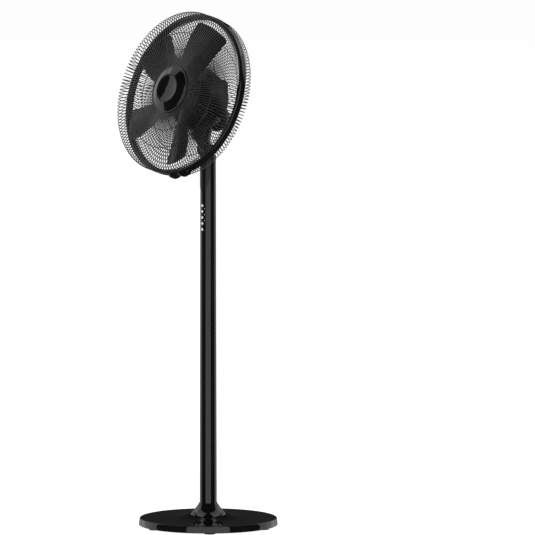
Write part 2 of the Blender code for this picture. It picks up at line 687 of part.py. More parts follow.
def motor_inside():
    shaft_bore = SHAFT_RADIUS + GAP
    turned_ring("stator", 0.062, 0.034, -0.082, -0.050, LAMINATION, FAN_AXIS)
    turned_ring("rotor_core", 0.0325, shaft_bore, -0.081, -0.051, LAMINATION, ROTOR_AXIS)
    bearing = BEARING_SEAT_RADIUS - 0.0007
    turned_ring("front_bearing", bearing, shaft_bore, -0.0360, -0.0250, STEEL, FAN_AXIS)
    turned_ring("rear_bearing", bearing, shaft_bore, -0.1050, -0.0960, STEEL, FAN_AXIS)
    turned_ring("front_bracket", 0.0755, 0.0060, -0.0385, -0.0365, STEEL, FAN_AXIS)
    turned_ring("rear_bracket", 0.0585, 0.0060, -0.0945, -0.0925, STEEL, FAN_AXIS)
    shaft = cylinder_mesh("shaft", SHAFT_RADIUS, -0.1065, 0.0400, SMALL_STEPS)
    put("motor_shaft", shaft, STEEL, ROTOR_AXIS)


# ---------------------------------------------------------------- guards

# Each guard's line from its rim in to its middle, as radius and distance forwards, and the width of
# the ring at some of its points
FRONT_PROFILE = (
    (0.2130, 0.0030),
    (0.2068, 0.0062),
    (0.2080, 0.0130),
    (0.2150, 0.0240),
    (0.2175, 0.0340),
    (0.2110, 0.0420),
    (0.1570, 0.0500),
    (0.1100, 0.0545),
    (0.0650, 0.0565),
)
FRONT_RINGS = {0: 0.0035, 6: 0.0030, 7: 0.0030, 8: 0.0050}
REAR_PROFILE = (
    (0.2130, -0.0030),
    (0.2068, -0.0062),
    (0.2080, -0.0120),
    (0.2158, -0.0260),
    (0.2080, -0.0330),
    (0.1570, -0.0385),
    (0.1100, -0.0415),
    (0.0770, -0.0429),
)
REAR_RINGS = {0: 0.0035, 5: 0.0030, 6: 0.0030, 7: 0.0120}


def guard_rows(profile, rings):
    """The profile's points with each ring opened into two points, one ring's width apart, along the
    line to the next point (or the last one), and which rows between points are rings."""
    points = []
    ring_rows = []
    for number, (radius, z) in enumerate(profile):
        if number not in rings:
            points.append((radius, z))
            continue
        other = profile[number + 1] if number + 1 < len(profile) else profile[number - 1]
        length = math.hypot(other[0] - radius, other[1] - z)
        share = rings[number] / length
        inward = (radius + (other[0] - radius) * share, z + (other[1] - z) * share)
        pair = [(radius, z), inward]
        if number + 1 == len(profile):
            pair.reverse()
        ring_rows.append(len(points))
        points += pair
    return points, ring_rows


def guard(name, profile, rings):
    """A cage of flat ribs from rim to middle, joined by flat rings."""
    points, ring_rows = guard_rows(profile, rings)
    columns = 2 * RIB_COUNT
    pitch = math.tau / RIB_COUNT

    def place(column, row):
        radius, z = points[row]
        half_rib = RIB_WIDTH / 2 / max(radius, 0.05)
        side = -half_rib if column % 2 == 0 else half_rib
        turn = pitch * (column // 2) + side
        return (radius * math.sin(turn), radius * math.cos(turn), z)

    def keep(column, row):
        return column % 2 == 0 or row in ring_rows

    mesh = sheet_mesh(name, columns, len(points) - 1, place, keep, joined=True)
    return thicken(put(name, mesh, WIRE_BLACK, FAN_AXIS), WIRE_THICKNESS)


def at_clamp(outward):
    """A point on the hoop at the clamp, this far out from the hoop's outer face."""
    reach = HOOP_RADIUS + outward
    return (reach * math.sin(CLAMP_TURN), -reach * math.cos(CLAMP_TURN), 0.0)


def clamp_rotation():
    """Turns an upright cylinder to lie along the hoop at the clamp."""
    return (Matrix.Rotation(CLAMP_TURN, 3, "Z") @ Matrix.Rotation(math.pi / 2, 3, "Y")).to_euler()


def clamp_cutter(name, radius, low, high, steps=20):
    """A cylinder along the screw's line, from low to high along it."""
    mesh = cylinder_mesh(name, radius, low, high, steps)
    return cutter(name, mesh, FAN_AXIS, at_clamp(SCREW_OUTWARD), clamp_rotation())


def clamp_lug(side):
    """A lug beside the slit: a cylinder squashed to stand a little out of the hoop."""
    squashed = Matrix.Diagonal((1.0, LUG_SQUASH, 1.0, 1.0))
    mesh = cylinder_mesh("lug", LUG_RADIUS, -LUG_HALF_WIDTH, LUG_HALF_WIDTH, 16)
    mesh.transform(Matrix.Translation((side * LUG_AWAY, -HOOP_RADIUS + 0.0005, 0.0)) @ squashed)
    return cutter(f"clamp_lug_{side + 2}", mesh, FAN_AXIS, (0, 0, 0), (0, 0, CLAMP_TURN))


def guard_hoop():
    """A channel that grips both guards' rims, with two lugs and a slit at the bottom."""
    inner = HOOP_RADIUS - HOOP_DEPTH
    half = HOOP_HALF_WIDTH
    wall = HOOP_WALL
    profile = [
        (inner, half - 0.0005),
        (inner + 0.001, half),
        (HOOP_RADIUS - 0.002, half),
        (HOOP_RADIUS, half - 0.002),
        (HOOP_RADIUS, 0.002 - half),
        (HOOP_RADIUS - 0.002, -half),
        (inner + 0.001, -half),
        (inner, 0.0005 - half),
        (inner, wall - half),
        (HOOP_RADIUS - wall, wall - half),
        (HOOP_RADIUS - wall, half - wall),
        (inner, half - wall),
    ]
    hoop = turned("guard_hoop", profile, GLOSS_BLACK, FAN_AXIS, steps=48)
    for side in (-1, 1):
        boolean(hoop, clamp_lug(side), "UNION")
    room = half - wall - 0.0003
    outer = HOOP_RADIUS - wall - 0.0001
    ring = [(outer, room), (outer, -room), (0.15, -room), (0.15, room)]
    boolean(hoop, turned("hoop_channel", ring, None, FAN_AXIS, 48, collection=CUTTERS))
    slit = box_mesh("slit", (CLAMP_SLIT, 0.045, 0.040), (0.0, -HOOP_RADIUS - 0.002, 0.0))
    boolean(hoop, cutter("clamp_slit", slit, FAN_AXIS, (0, 0, 0), (0, 0, CLAMP_TURN)))
    boolean(hoop, clamp_cutter("clamp_bore", SCREW_RADIUS + GAP, -0.030, 0.030, 16))
    boolean(hoop, clamp_cutter("head_seat", 0.0042, SEAT_AWAY, 0.045))
    boolean(hoop, clamp_cutter("nut_seat", 0.0042, -0.045, -SEAT_AWAY))


def hoop_fastening():
    """The screw that draws the lugs together, in a counterbore at each end, and its nut."""
    place = at_clamp(SCREW_OUTWARD)
    face = SEAT_AWAY + GAP
    mesh = cylinder_mesh("screw", SCREW_RADIUS, -face - 0.0082, face + 0.0002, 16)
    screw = put("hoop_screw", mesh, STEEL, FAN_AXIS, place, clamp_rotation())
    boolean(screw, clamp_cutter("screw_head", 0.0036, face, face + 0.0034), "UNION")
    mesh = cylinder_mesh("nut", 0.0038, -face - 0.0037, -face, 6)
    nut = put("hoop_nut", mesh, STEEL, FAN_AXIS, place, clamp_rotation())
    boolean(nut, clamp_cutter("hoop_nut_hole", SCREW_RADIUS + 0.0002, -0.03, 0.0, 16))


def medallion():
    """The dished centre of the front guard: a sloping ring, a dished disc, and a clip plate behind."""
    ring = [
        (0.0372, 0.0700),
        (0.0590, 0.0612),
        (0.0605, 0.0592),
        (0.0625, 0.0598),
        (0.0650, 0.0592),
        (0.0657, 0.0580),
        (0.0640, 0.0578),
        (0.0600, 0.0580),
        (0.0372, 0.0640),
    ]
    turned("medallion_ring", ring, GLOSS_BLACK, FAN_AXIS, steps=32)
    disc = [
        (0.0, 0.0648),
        (0.0180, 0.0660),
        (0.0355, 0.0698),
        (0.0368, 0.0692),
        (0.0368, 0.0640),
        (0.0, 0.0618),
    ]
    turned("medallion_disc", disc, GLOSS_BLACK, FAN_AXIS, steps=48, closed=False)
    turned_ring("medallion_clip", 0.0640, 0.0450, 0.0535, 0.0550, SATIN_BLACK, FAN_AXIS, 24)


# ---------------------------------------------------------------- rotor


def blade_turn(share, radius):
    """Angle clockwise from upright: straight at the leading edge, and a fan shape that narrows outwards."""
    spread = math.radians(43.5 + (0.100 - radius) * 129.0)
    return FIRST_LEADING_TURN - spread * share


def blade_mesh(number):
    """One blade's middle surface, pitched from its leading edge at the rear to its front edge."""

    def place(column, row):
        radius = BLADE_ROOT_RADIUS + (BLADE_TIP_RADIUS - BLADE_ROOT_RADIUS) * row / BLADE_CELLS
        share = column / BLADE_CELLS
        turn = blade_turn(share, radius) + number * math.tau / BLADE_COUNT
        z = BLADE_REAR + (BLADE_FRONT - BLADE_REAR) * share
        return (radius * math.sin(turn), radius * math.cos(turn), z)

    return sheet_mesh("blade", BLADE_CELLS, BLADE_CELLS, place, lambda column, row: True)


def fan_blades():
    """A hub cup on the shaft, and blades that grow from its wall."""
    bore = SHAFT_RADIUS + GAP
    hub_profile = [
        (BOSS_RADIUS, HUB_FRONT),
        (0.0380, HUB_FRONT),
        (HUB_RADIUS, 0.0280),
        (HUB_RADIUS, -0.0020),
        (HUB_RADIUS - 0.003, -0.0020),
        (HUB_RADIUS - 0.003, 0.0260),
        (0.0360, HUB_FRONT - 0.003),
        (BOSS_RADIUS, HUB_FRONT - 0.003),
        (BOSS_RADIUS, 0.0),
        (bore, 0.0),
        (bore, HUB_FRONT),
    ]
    hub = turned("fan_blades", hub_profile, SATIN_BLACK, ROTOR_AXIS, steps=24)
    for number in range(BLADE_COUNT):
        blade = cutter(f"blade_{number + 1}", blade_mesh(number), ROTOR_AXIS)
        thicken(blade, BLADE_THICKNESS)
        boolean(hub, blade, "UNION")
    slot = box_mesh("pin_slot", (0.0190, 0.0036, 0.0036))
    boolean(hub, cutter("pin_slot", slot, ROTOR_AXIS))


def rotor_small_parts():
    """The pin through the shaft that drives the hub, and the nut that holds the hub on."""
    mesh = cylinder_mesh("pin", DRIVE_PIN_RADIUS, -0.0085, 0.0085, 12)
    put("drive_pin", mesh, STEEL, ROTOR_AXIS, (0, 0, 0), SIDEWAYS)
    hole = cylinder_mesh("drive_hole", DRIVE_PIN_RADIUS + GAP, -0.02, 0.02, 12)
    boolean(bpy.data.objects["motor_shaft"], cutter("drive_hole", hole, ROTOR_AXIS, (0, 0, 0), SIDEWAYS))
    bore = SHAFT_RADIUS + GAP
    nut_rear = HUB_FRONT + 0.0005
    nut = [
        (0.0, 0.0500),
        (0.0100, 0.0480),
        (0.0160, 0.0430),
        (0.0180, nut_rear),
        (bore, nut_rear),
        (bore, 0.0410),
        (0.0, 0.0410),
    ]
    turned("spinner_nut", nut, SATIN_BLACK, ROTOR_AXIS, steps=20, closed=False)


def main():
    base_cover()
    base_plate()
    base_weight()
    feet()
    column_socket()
    cord_gland()
    columns()
    buttons()
    indicator_lamps()
    control_board()
    front_trim()
    column_head()
    neck()
    tilt_fastening()
    swing_drive()
    motor_covers()
    motor_foot()
    gear_housing()
    motor_inside()
    guard("front_guard", FRONT_PROFILE, FRONT_RINGS)
    guard("rear_guard", REAR_PROFILE, REAR_RINGS)
    guard_hoop()
    hoop_fastening()
    medallion()
    fan_blades()
    rotor_small_parts()


main()
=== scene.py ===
"""The finished surfaces of a tall, glossy black pedestal fan, laid out as an add-on."""

import json

import bmesh
import bpy
import numpy as np
from mathutils import Matrix, Vector

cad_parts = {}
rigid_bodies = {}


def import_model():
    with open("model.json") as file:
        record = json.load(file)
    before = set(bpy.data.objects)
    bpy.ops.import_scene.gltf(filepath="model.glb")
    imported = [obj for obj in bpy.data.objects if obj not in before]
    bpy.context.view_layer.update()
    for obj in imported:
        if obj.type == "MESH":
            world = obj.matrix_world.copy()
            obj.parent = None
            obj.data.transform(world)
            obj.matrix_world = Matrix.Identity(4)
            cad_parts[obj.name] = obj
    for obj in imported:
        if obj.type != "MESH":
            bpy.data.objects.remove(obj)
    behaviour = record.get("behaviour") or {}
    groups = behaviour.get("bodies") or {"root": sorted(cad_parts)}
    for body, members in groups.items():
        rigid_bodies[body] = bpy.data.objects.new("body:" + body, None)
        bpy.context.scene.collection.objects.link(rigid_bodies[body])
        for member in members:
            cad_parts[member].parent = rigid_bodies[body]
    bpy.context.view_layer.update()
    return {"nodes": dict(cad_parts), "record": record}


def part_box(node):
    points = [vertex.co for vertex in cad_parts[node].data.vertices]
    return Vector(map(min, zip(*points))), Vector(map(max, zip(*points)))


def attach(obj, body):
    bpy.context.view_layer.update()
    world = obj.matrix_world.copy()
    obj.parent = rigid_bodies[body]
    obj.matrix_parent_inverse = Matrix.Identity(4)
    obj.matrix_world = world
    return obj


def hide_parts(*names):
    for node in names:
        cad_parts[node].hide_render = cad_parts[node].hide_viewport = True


bl_info = {
    "name": "Pedestal Fan Surfaces",
    "version": (1, 0, 0),
    "blender": (4, 5, 0),
    "location": "3D View > Sidebar > Fan",
    "description": "Builds the visible shells, wires, blades and keys of a pedestal fan",
    "category": "Object",
}

for startup_object in list(bpy.data.objects):
    bpy.data.objects.remove(startup_object)

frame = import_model()
JOINTS = {joint["name"]: joint for joint in frame["record"]["behaviour"]["joints"]}

SIDE = np.array([1.0, 0.0, 0.0])
FORWARD = -np.array(JOINTS["rotor_spin"]["axis"])
FORWARD = FORWARD / np.linalg.norm(FORWARD)
UP = np.cross(FORWARD, SIDE)
HOOP_CENTRE = np.array(JOINTS["rotor_spin"]["pos_m"])
TILT_PIVOT = np.array(JOINTS["tilt"]["pos_m"])
SWING_POINT = np.array(JOINTS["swing"]["pos_m"])

TURN = 2.0 * np.pi
KEYS = ("power", "speed", "swing", "timer", "mode")


# ------------------------------------------------------------------ sizes and colours


class FanSizes(bpy.types.PropertyGroup):
    """Sizes that change how fine or heavy the visible parts look."""

    wire_count: bpy.props.IntProperty(
        name="Guard wires", description="Radial wires in each guard", default=150, min=24, max=200
    )
    wire_radius: bpy.props.FloatProperty(
        name="Wire radius",
        description="Half the thickness of a guard wire",
        default=0.00115,
        unit="LENGTH",
    )
    ring_radius: bpy.props.FloatProperty(
        name="Ring radius",
        description="Half the thickness of a guard's rings",
        default=0.0010,
        unit="LENGTH",
    )
    blade_thickness: bpy.props.FloatProperty(
        name="Blade thickness", description="Thickness of a fan blade", default=0.0018, unit="LENGTH"
    )
    round_steps: bpy.props.IntProperty(
        name="Round steps", description="Steps round a turned shell", default=160, min=32, max=256
    )


class FanFinishes(bpy.types.PropertyGroup):
    """Colours of the fan's finishes."""

    shell: bpy.props.FloatVectorProperty(
        name="Shell",
        description="Glossy moulded plastic",
        default=(0.0045, 0.0045, 0.005),
        subtype="COLOR",
        size=3,
    )
    blade: bpy.props.FloatVectorProperty(
        name="Blades",
        description="Moulded blades",
        default=(0.010, 0.010, 0.011),
        subtype="COLOR",
        size=3,
    )
    # Wire: the dark coating's colour lightened to mid-dark grey, painted sheen that stands in for the
    # highlights along the black wires.
    wire: bpy.props.FloatVectorProperty(
        name="Wire", description="Coated wire", default=(0.030, 0.030, 0.032), subtype="COLOR", size=3
    )
    key: bpy.props.FloatVectorProperty(
        name="Keys", description="Push keys", default=(0.72, 0.74, 0.76), subtype="COLOR", size=3
    )


# ------------------------------------------------------------------ frames


def in_head(across, up, forward):
    """Points given in the head's frame: across, up and forwards of the hoop's centre."""
    across, up, forward = np.broadcast_arrays(across, up, forward)
    return HOOP_CENTRE + across[..., None] * SIDE + up[..., None] * UP + forward[..., None] * FORWARD


def in_neck(across, back, up):
    """Points given in the neck's frame: across, backwards and up from the tilt pivot."""
    across, back, up = np.broadcast_arrays(across, back, up)
    return TILT_PIVOT + across[..., None] * SIDE - back[..., None] * FORWARD + up[..., None] * UP


# ------------------------------------------------------------------ surfaces


def lattice(rows, columns, wrap_rows=False, wrap_columns=False):
    """The four-cornered faces of a grid of rows by columns points, row after row."""
    down = np.arange(rows if wrap_rows else rows - 1)
    across = np.arange(columns if wrap_columns else columns - 1)
    row, column = np.meshgrid(down, across, indexing="ij")
    next_row = (row + 1) % rows
    next_column = (column + 1) % columns
    corners = (row * columns + column, row * columns + next_column)
    corners += (next_row * columns + next_column, next_row * columns + column)
    return np.stack(corners, axis=-1).reshape(-1, 4)


def capped(rows, columns):
    """The faces of a grid wrapped along its columns, with one flat face over its first row and one
    over its last."""
    around = np.arange(columns)
    ends = [around.tolist(), (around[::-1] + (rows - 1) * columns).tolist()]
    return lattice(rows, columns, False, True).tolist() + ends


def finished(name, points, faces, material, body, replaced=()):
    """Makes a closed, smooth piece of points and faces, with doubled points merged and faces outwards."""
    mesh = bpy.data.meshes.new(name)
    faces = faces if isinstance(faces, list) else faces.tolist()
    mesh.from_pydata(points.reshape(-1, 3).tolist(), [], faces)
    shape = bmesh.new()
    shape.from_mesh(mesh)
    bmesh.ops.remove_doubles(shape, verts=shape.verts, dist=1e-6)
    bmesh.ops.dissolve_degenerate(shape, edges=shape.edges, dist=1e-7)
    bmesh.ops.recalc_face_normals(shape, faces=shape.faces)
    shape.to_mesh(mesh)
    shape.free()
    mesh.shade_smooth()
    mesh.set_sharp_from_angle(angle=np.radians(32))
    mesh.materials.append(material)
    piece = bpy.data.objects.new(name, mesh)
    bpy.context.scene.collection.objects.link(piece)
    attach(piece, body)
    if replaced:
        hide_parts(*replaced)
    return piece


def rounded(outline, radius, steps=5):
    """A closed outline of (radius, height) points with each corner replaced by a quadratic curve that
    starts and ends at most the given distance from it."""
    corners = np.asarray(outline, dtype=float)
    before = np.roll(corners, 1, axis=0) - corners
    after = np.roll(corners, -1, axis=0) - corners
    before_length = np.linalg.norm(before, axis=1, keepdims=True)
    after_length = np.linalg.norm(after, axis=1, keepdims=True)
    reach = np.minimum(radius, 0.45 * np.minimum(before_length, after_length))
    start = corners + before / before_length * reach
    end = corners + after / after_length * reach
    share = np.linspace(0.0, 1.0, steps)[None, :, None]
    curve = (1 - share) ** 2 * start[:, None] + 2 * share * (1 - share) * corners[:, None]
    return (curve + share**2 * end[:, None]).reshape(-1, 2)


def smooth_line(points, count):
    """A smooth line of count points through the given ones: a Catmull-Rom curve, which leaves each
    point along the line from the point before it to the point after it."""
    points = np.asarray(points, dtype=float)
    padded = np.vstack((2 * points[0] - points[1], points, 2 * points[-1] - points[-2]))
    place = np.linspace(0, len(points) - 1, count)
    piece = np.minimum(place.astype(int), len(points) - 2)
    share = (place - piece)[:, None]
    first, second, third, fourth = (padded[piece + offset] for offset in range(4))
    return 0.5 * (
        2 * second
        + (third - first) * share
        + (2 * first - 5 * second + 4 * third - fourth) * share**2
        + (3 * second - first - 3 * third + fourth) * share**3
    )


def turned_points(outline, steps, place):
    """A closed outline of (radius, height) points carried round: each point moves on a circle."""
    outline = np.asarray(outline, dtype=float)
    turn = np.arange(steps) * TURN / steps
    radius, height = outline[:, 0][:, None], outline[:, 1][:, None]
    return place(radius * np.sin(turn), radius * np.cos(turn), height)


def turned(name, outline, material, body, replaced=(), place=in_head, steps=None):
    """A closed outline turned round the axis of the frame that place gives."""
    steps = steps or bpy.context.scene.fan_sizes.round_steps
    points = turned_points(outline, steps, place)
    faces = lattice(len(outline), steps, True, True)
    return finished(name, points, faces, material, body, replaced)


def upright(across, back, height):
    """Points of an upright frame on the floor under the column: across, then backwards, then up."""
    across, back, height = np.broadcast_arrays(across, back, height)
    return np.stack((across, back, height), axis=-1)


def wires(name, paths, side_direction, radius, sides, material, body, replaced=(), closed=False):
    """Round wires along paths. Each section is a circle in the plane of the side direction and of the
    cross product of that direction with the path's tangent. Open ends get a flat cap."""
    count, length, _ = paths.shape
    if closed:
        tangent = np.roll(paths, -1, axis=1) - np.roll(paths, 1, axis=1)
    else:
        tangent = np.gradient(paths, axis=1)
    tangent /= np.linalg.norm(tangent, axis=2, keepdims=True)
    side = np.broadcast_to(side_direction, paths.shape)
    other = np.cross(tangent, side)
    other /= np.linalg.norm(other, axis=2, keepdims=True)
    turn = np.arange(sides) * TURN / sides
    ring = np.cos(turn)[:, None] * side[:, :, None, :] + np.sin(turn)[:, None] * other[:, :, None, :]
    points = paths[:, :, None, :] + radius * ring
    one = lattice(length, sides, closed, True)
    offset = (np.arange(count) * length * sides)[:, None, None]
    faces = (one[None] + offset).reshape(-1, 4).tolist()
    if not closed:
        first = np.arange(sides)[None, :] + offset[:, 0]
        faces += first.tolist()
        faces += (first + (length - 1) * sides)[:, ::-1].tolist()
    return finished(name, points, faces, material, body, replaced)


# ------------------------------------------------------------------ materials


def new_material(name):
    """A material, with its nodes and links."""
    material = bpy.data.materials.new(name)
    material.use_nodes = True
    return material, material.node_tree.nodes, material.node_tree.links


def object_noise(nodes, links, scale, detail=3.0):
    """Noise over the object's own coordinates."""
    place = nodes.new("ShaderNodeTexCoord")
    noise = nodes.new("ShaderNodeTexNoise")
    noise.inputs["Scale"].default_value = scale
    noise.inputs["Detail"].default_value = detail
    links.new(place.outputs["Object"], noise.inputs["Vector"])
    return noise


def ranged(nodes, links, source, low, high):
    """The source's usual spread, 0.3 to 0.7, mapped onto low to high."""
    span = nodes.new("ShaderNodeMapRange")
    span.inputs["From Min"].default_value = 0.3
    span.inputs["From Max"].default_value = 0.7
    span.inputs["To Min"].default_value = low
    span.inputs["To Max"].default_value = high
    links.new(source, span.inputs["Value"])
    return span.outputs["Result"]


def moulded(
    name, colour, roughness, spread, variation=0.25, bump=0.02, grain=900.0, metallic=0.0, patch=14.0
):
    """A finish whose colour drifts in broad patches, whose roughness varies with handling, and whose
    surface carries a fine grain."""
    material, nodes, links = new_material(name)
    shader = nodes["Principled BSDF"]
    shader.inputs["Metallic"].default_value = metallic
    broad = object_noise(nodes, links, patch)
    ramp = nodes.new("ShaderNodeValToRGB")
    dark = [channel * (1.0 - variation) for channel in colour]
    light = [min(1.0, channel * (1.0 + variation)) for channel in colour]
    ramp.color_ramp.elements[0].position = 0.3
    ramp.color_ramp.elements[0].color = (*dark, 1.0)
    ramp.color_ramp.elements[1].position = 0.7
    ramp.color_ramp.elements[1].color = (*light, 1.0)
    links.new(broad.outputs["Fac"], ramp.inputs["Fac"])
    links.new(ramp.outputs["Color"], shader.inputs["Base Color"])
    smudge = object_noise(nodes, links, patch * 4.0, 5.0)
    low, high = roughness - spread, roughness + spread
    links.new(ranged(nodes, links, smudge.outputs["Fac"], low, high), shader.inputs["Roughness"])
    fine = object_noise(nodes, links, grain, 2.0)
    raised = nodes.new("ShaderNodeBump")
    raised.inputs["Strength"].default_value = bump
    raised.inputs["Distance"].default_value = 0.0004
    links.new(fine.outputs["Fac"], raised.inputs["Height"])
    links.new(raised.outputs["Normal"], shader.inputs["Normal"])
    return material


MATERIALS = {}


def fixed_looks():
    """The finishes that have no setting in the sidebar."""
    return {
        "satin_shell": {"colour": (0.010, 0.010, 0.011), "roughness": 0.34, "spread": 0.05, "bump": 0.10},
        "trim_shell": {"colour": (0.002, 0.002, 0.0022), "roughness": 0.42, "spread": 0.05, "bump": 0.03},
        "lamp_cap": {
            "colour": (0.55, 0.57, 0.6),
            "roughness": 0.12,
            "spread": 0.03,
            "variation": 0.05,
            "bump": 0.01,
            "patch": 300.0,
        },
        "rubber": {
            "colour": (0.018, 0.018, 0.018),
            "roughness": 0.8,
            "spread": 0.08,
            "bump": 0.35,
            "grain": 1400.0,
        },
        "casting": {
            "colour": (0.07, 0.07, 0.07),
            "roughness": 0.68,
            "spread": 0.1,
            "bump": 0.6,
            "grain": 500.0,
            "metallic": 0.8,
        },
        "plated_steel": {
            "colour": (0.55, 0.55, 0.56),
            "roughness": 0.28,
            "spread": 0.08,
            "variation": 0.1,
            "bump": 0.04,
            "metallic": 1.0,
        },
        "laminations": {
            "colour": (0.28, 0.28, 0.29),
            "roughness": 0.48,
            "spread": 0.08,
            "variation": 0.15,
            "bump": 0.3,
            "metallic": 1.0,
        },
        "nylon": {
            "colour": (0.6, 0.6, 0.56),
            "roughness": 0.45,
            "spread": 0.05,
            "variation": 0.05,
            "bump": 0.05,
        },
        "board": {
            "colour": (0.02, 0.12, 0.05),
            "roughness": 0.4,
            "spread": 0.1,
            "variation": 0.3,
            "bump": 0.1,
            "patch": 220.0,
        },
    }


def make_materials(finishes):
    """All the fan's finishes, by name."""
    shell, blade = tuple(finishes.shell), tuple(finishes.blade)
    wire, key = tuple(finishes.wire), tuple(finishes.key)
    MATERIALS["gloss_shell"] = moulded("gloss_shell", shell, 0.045, 0.02, bump=0.004)
    MATERIALS["blade_plastic"] = moulded("blade_plastic", blade, 0.22, 0.04, bump=0.03)
    # The coated-wire finish carries that lightened colour: a dark coating plus painted sheen, so the wires
    # read as grey lines over the dark blades.
    MATERIALS["wire_coat_and_painted_sheen"] = moulded("wire_coat_and_painted_sheen", wire, 0.24, 0.05, bump=0.08, grain=1500.0)
    MATERIALS["key_cap"] = moulded("key_cap", key, 0.30, 0.05, 0.04, 0.03, patch=200.0)
    for name, look in fixed_looks().items():
        MATERIALS[name] = moulded(name, **look)


CARRIED_OVER = {
    "satin_shell": ("column_head", "medallion_clip", "cord_gland"),
    "rubber": tuple(f"foot_{number}" for number in range(1, 7)),
    "casting": ("base_weight",),
    "plated_steel": (
        "base_bottom_plate",
        "column_socket",
        "coupling_sleeve",
        "tilt_bolt",
        "tilt_nut",
        "swing_pin",
        "swing_motor",
        "front_bearing",
        "rear_bearing",
        "front_bracket",
        "rear_bracket",
        "hoop_screw",
        "hoop_nut",
        "motor_shaft",
        "drive_pin",
    ),
    "laminations": ("stator", "rotor_core"),
    "nylon": ("swing_gear", "swing_pinion"),
    "board": ("control_board",),
}


# ------------------------------------------------------------------ base


RIM_TOP = 0.022
COLLAR_RADIUS = 0.0243
COLLAR_TOP = 0.0615
COVER_WALL = 0.0025
COVER_BOTTOM = 0.0031
RIM_SLOPE = 0.0017
FLARE_RATE = 6.2


def base_outline():
    """The cover's section. Above the rim, height falls off exponentially on the way out, times the
    share of the way still left; the rim and the collar's lip are rounded."""
    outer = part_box("base_cover")[1][0]
    inner = outer - COVER_WALL
    top_radius = outer - RIM_SLOPE
    radii = np.linspace(COLLAR_RADIUS, top_radius - 0.004, 70)
    way_out = (radii - COLLAR_RADIUS) / (top_radius - COLLAR_RADIUS)
    heights = RIM_TOP + (COLLAR_TOP - RIM_TOP) * np.exp(-FLARE_RATE * way_out) * (1.0 - way_out)
    edge = smooth_line(
        [
            (top_radius - 0.004, RIM_TOP), (top_radius - 0.0012, RIM_TOP - 0.0007),
            (top_radius, RIM_TOP - 0.003),
        ], 10
    )
    skirt = np.array([
        (outer - 0.0002, COVER_BOTTOM + 0.001), (outer - 0.0006, COVER_BOTTOM), (inner, COVER_BOTTOM),
        (inner - 0.0016, 0.019),
    ])
    under = np.array([(0.060, 0.0192), (0.034, 0.030), (0.0262, 0.0400), (0.0238, 0.0400)])
    return np.vstack((np.stack((radii, heights), axis=1), edge[1:], skirt, under))


def build_base():
    """The base cover, its section turned round the column's axis."""
    turned(
        "base_shell",
        base_outline(),
        MATERIALS["gloss_shell"],
        "stand",
        ("base_cover",),
        upright,
        200,
    )


# ------------------------------------------------------------------ column


def column_radius(height, low, high, low_radius, high_radius):
    """The column's radius at a height, which changes evenly from low to high."""
    return low_radius + (high_radius - low_radius) * (height - low) / (high - low)


def tube_outline(node, low_radius, high_radius, wall, count):
    """A tube's section, tapering in a straight line, with both lips rounded."""
    low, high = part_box(node)[0][2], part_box(node)[1][2]
    heights = np.linspace(low + 0.0004, high - 0.0004, count)
    outer = np.stack((column_radius(heights, low, high, low_radius, high_radius), heights), axis=1)
    lips_high = np.array([(high_radius - 0.0003, high), (high_radius - wall, high)])
    lips_low = np.array([(low_radius - wall, low), (low_radius - 0.0003, low)])
    return np.vstack((outer, lips_high, lips_low))


COLUMN_FOOT_RADIUS = 0.0229
COLUMN_SEAM_RADIUS = 0.0215
COLUMN_TOP_RADIUS = 0.0207
COLUMN_WALL = 0.0016
WELL_DEPTH = 0.0040
WELL_EDGE = 0.0002
KEY_WELL_RADIUS = 0.0042
KEY_MARGIN = 0.006


def box_centre(node):
    """The middle of a working part's box."""
    low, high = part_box(node)
    return (np.array(low) + np.array(high)) / 2


def key_centre(name):
    """The middle of a key's box."""
    return box_centre(f"button_{name}")


def upper_radius(height):
    """The upper tube's radius at a height."""
    low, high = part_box("upper_column")[0][2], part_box("upper_column")[1][2]
    return column_radius(height, low, high, COLUMN_SEAM_RADIUS, COLUMN_TOP_RADIUS)


def wells(turn, height, radius):
    """How far the column's face is sunk: the full depth inside a circle round each key on the front,
    with a short even slope at the circle's edge."""
    sunk = np.zeros_like(turn)
    across, back = radius * np.sin(turn), -radius * np.cos(turn)
    for name in KEYS:
        away = np.hypot(across, height - key_centre(name)[2])
        near = np.clip((KEY_WELL_RADIUS + WELL_EDGE - away) / (2 * WELL_EDGE), 0.0, 1.0)
        sunk = np.maximum(sunk, near * (back < 0))
    return sunk * WELL_DEPTH


def build_column():
    """The two tubes. The upper one is a grid of turn by height, close together round the keys, whose
    radius tapers and is sunk by the key wells; its inner side is a plain tube."""
    outline = tube_outline("extension_column", COLUMN_FOOT_RADIUS, COLUMN_SEAM_RADIUS, COLUMN_WALL, 40)
    turned(
        "lower_tube",
        outline,
        MATERIALS["gloss_shell"],
        "stand",
        ("extension_column",),
        upright,
        96,
    )
    low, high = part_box("upper_column")[0][2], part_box("upper_column")[1][2]
    keys_low = key_centre("mode")[2] - KEY_MARGIN
    keys_high = key_centre("power")[2] + KEY_MARGIN
    close = np.radians(15)
    turns = np.concatenate((np.linspace(-close, close, 61), np.linspace(close, TURN - close, 90)[1:-1]))
    below_keys = np.linspace(low, keys_low, 24)[:-1]
    above_keys = np.linspace(keys_high, high, 16)[1:]
    heights = np.concatenate((below_keys, np.linspace(keys_low, keys_high, 190), above_keys))
    height, turn = np.meshgrid(heights, turns, indexing="ij")
    radius = upper_radius(height)
    radius = radius - wells(turn, height, radius)
    outer = upright(radius * np.sin(turn), -radius * np.cos(turn), height)
    inner_radius = COLUMN_SEAM_RADIUS - COLUMN_WALL - WELL_DEPTH
    inner_height, inner_turn = np.meshgrid(np.array([high, low]), turns, indexing="ij")
    inner = upright(inner_radius * np.sin(inner_turn), -inner_radius * np.cos(inner_turn), inner_height)
    points = np.concatenate((outer, inner))
    faces = lattice(len(points), len(turns), True, True)
    finished(
        "upper_tube", points, faces, MATERIALS["gloss_shell"], "stand", ("upper_column",)
    )


TRIM_NARROWING = 0.058
TRIM_HALF_TURN = np.radians(61)


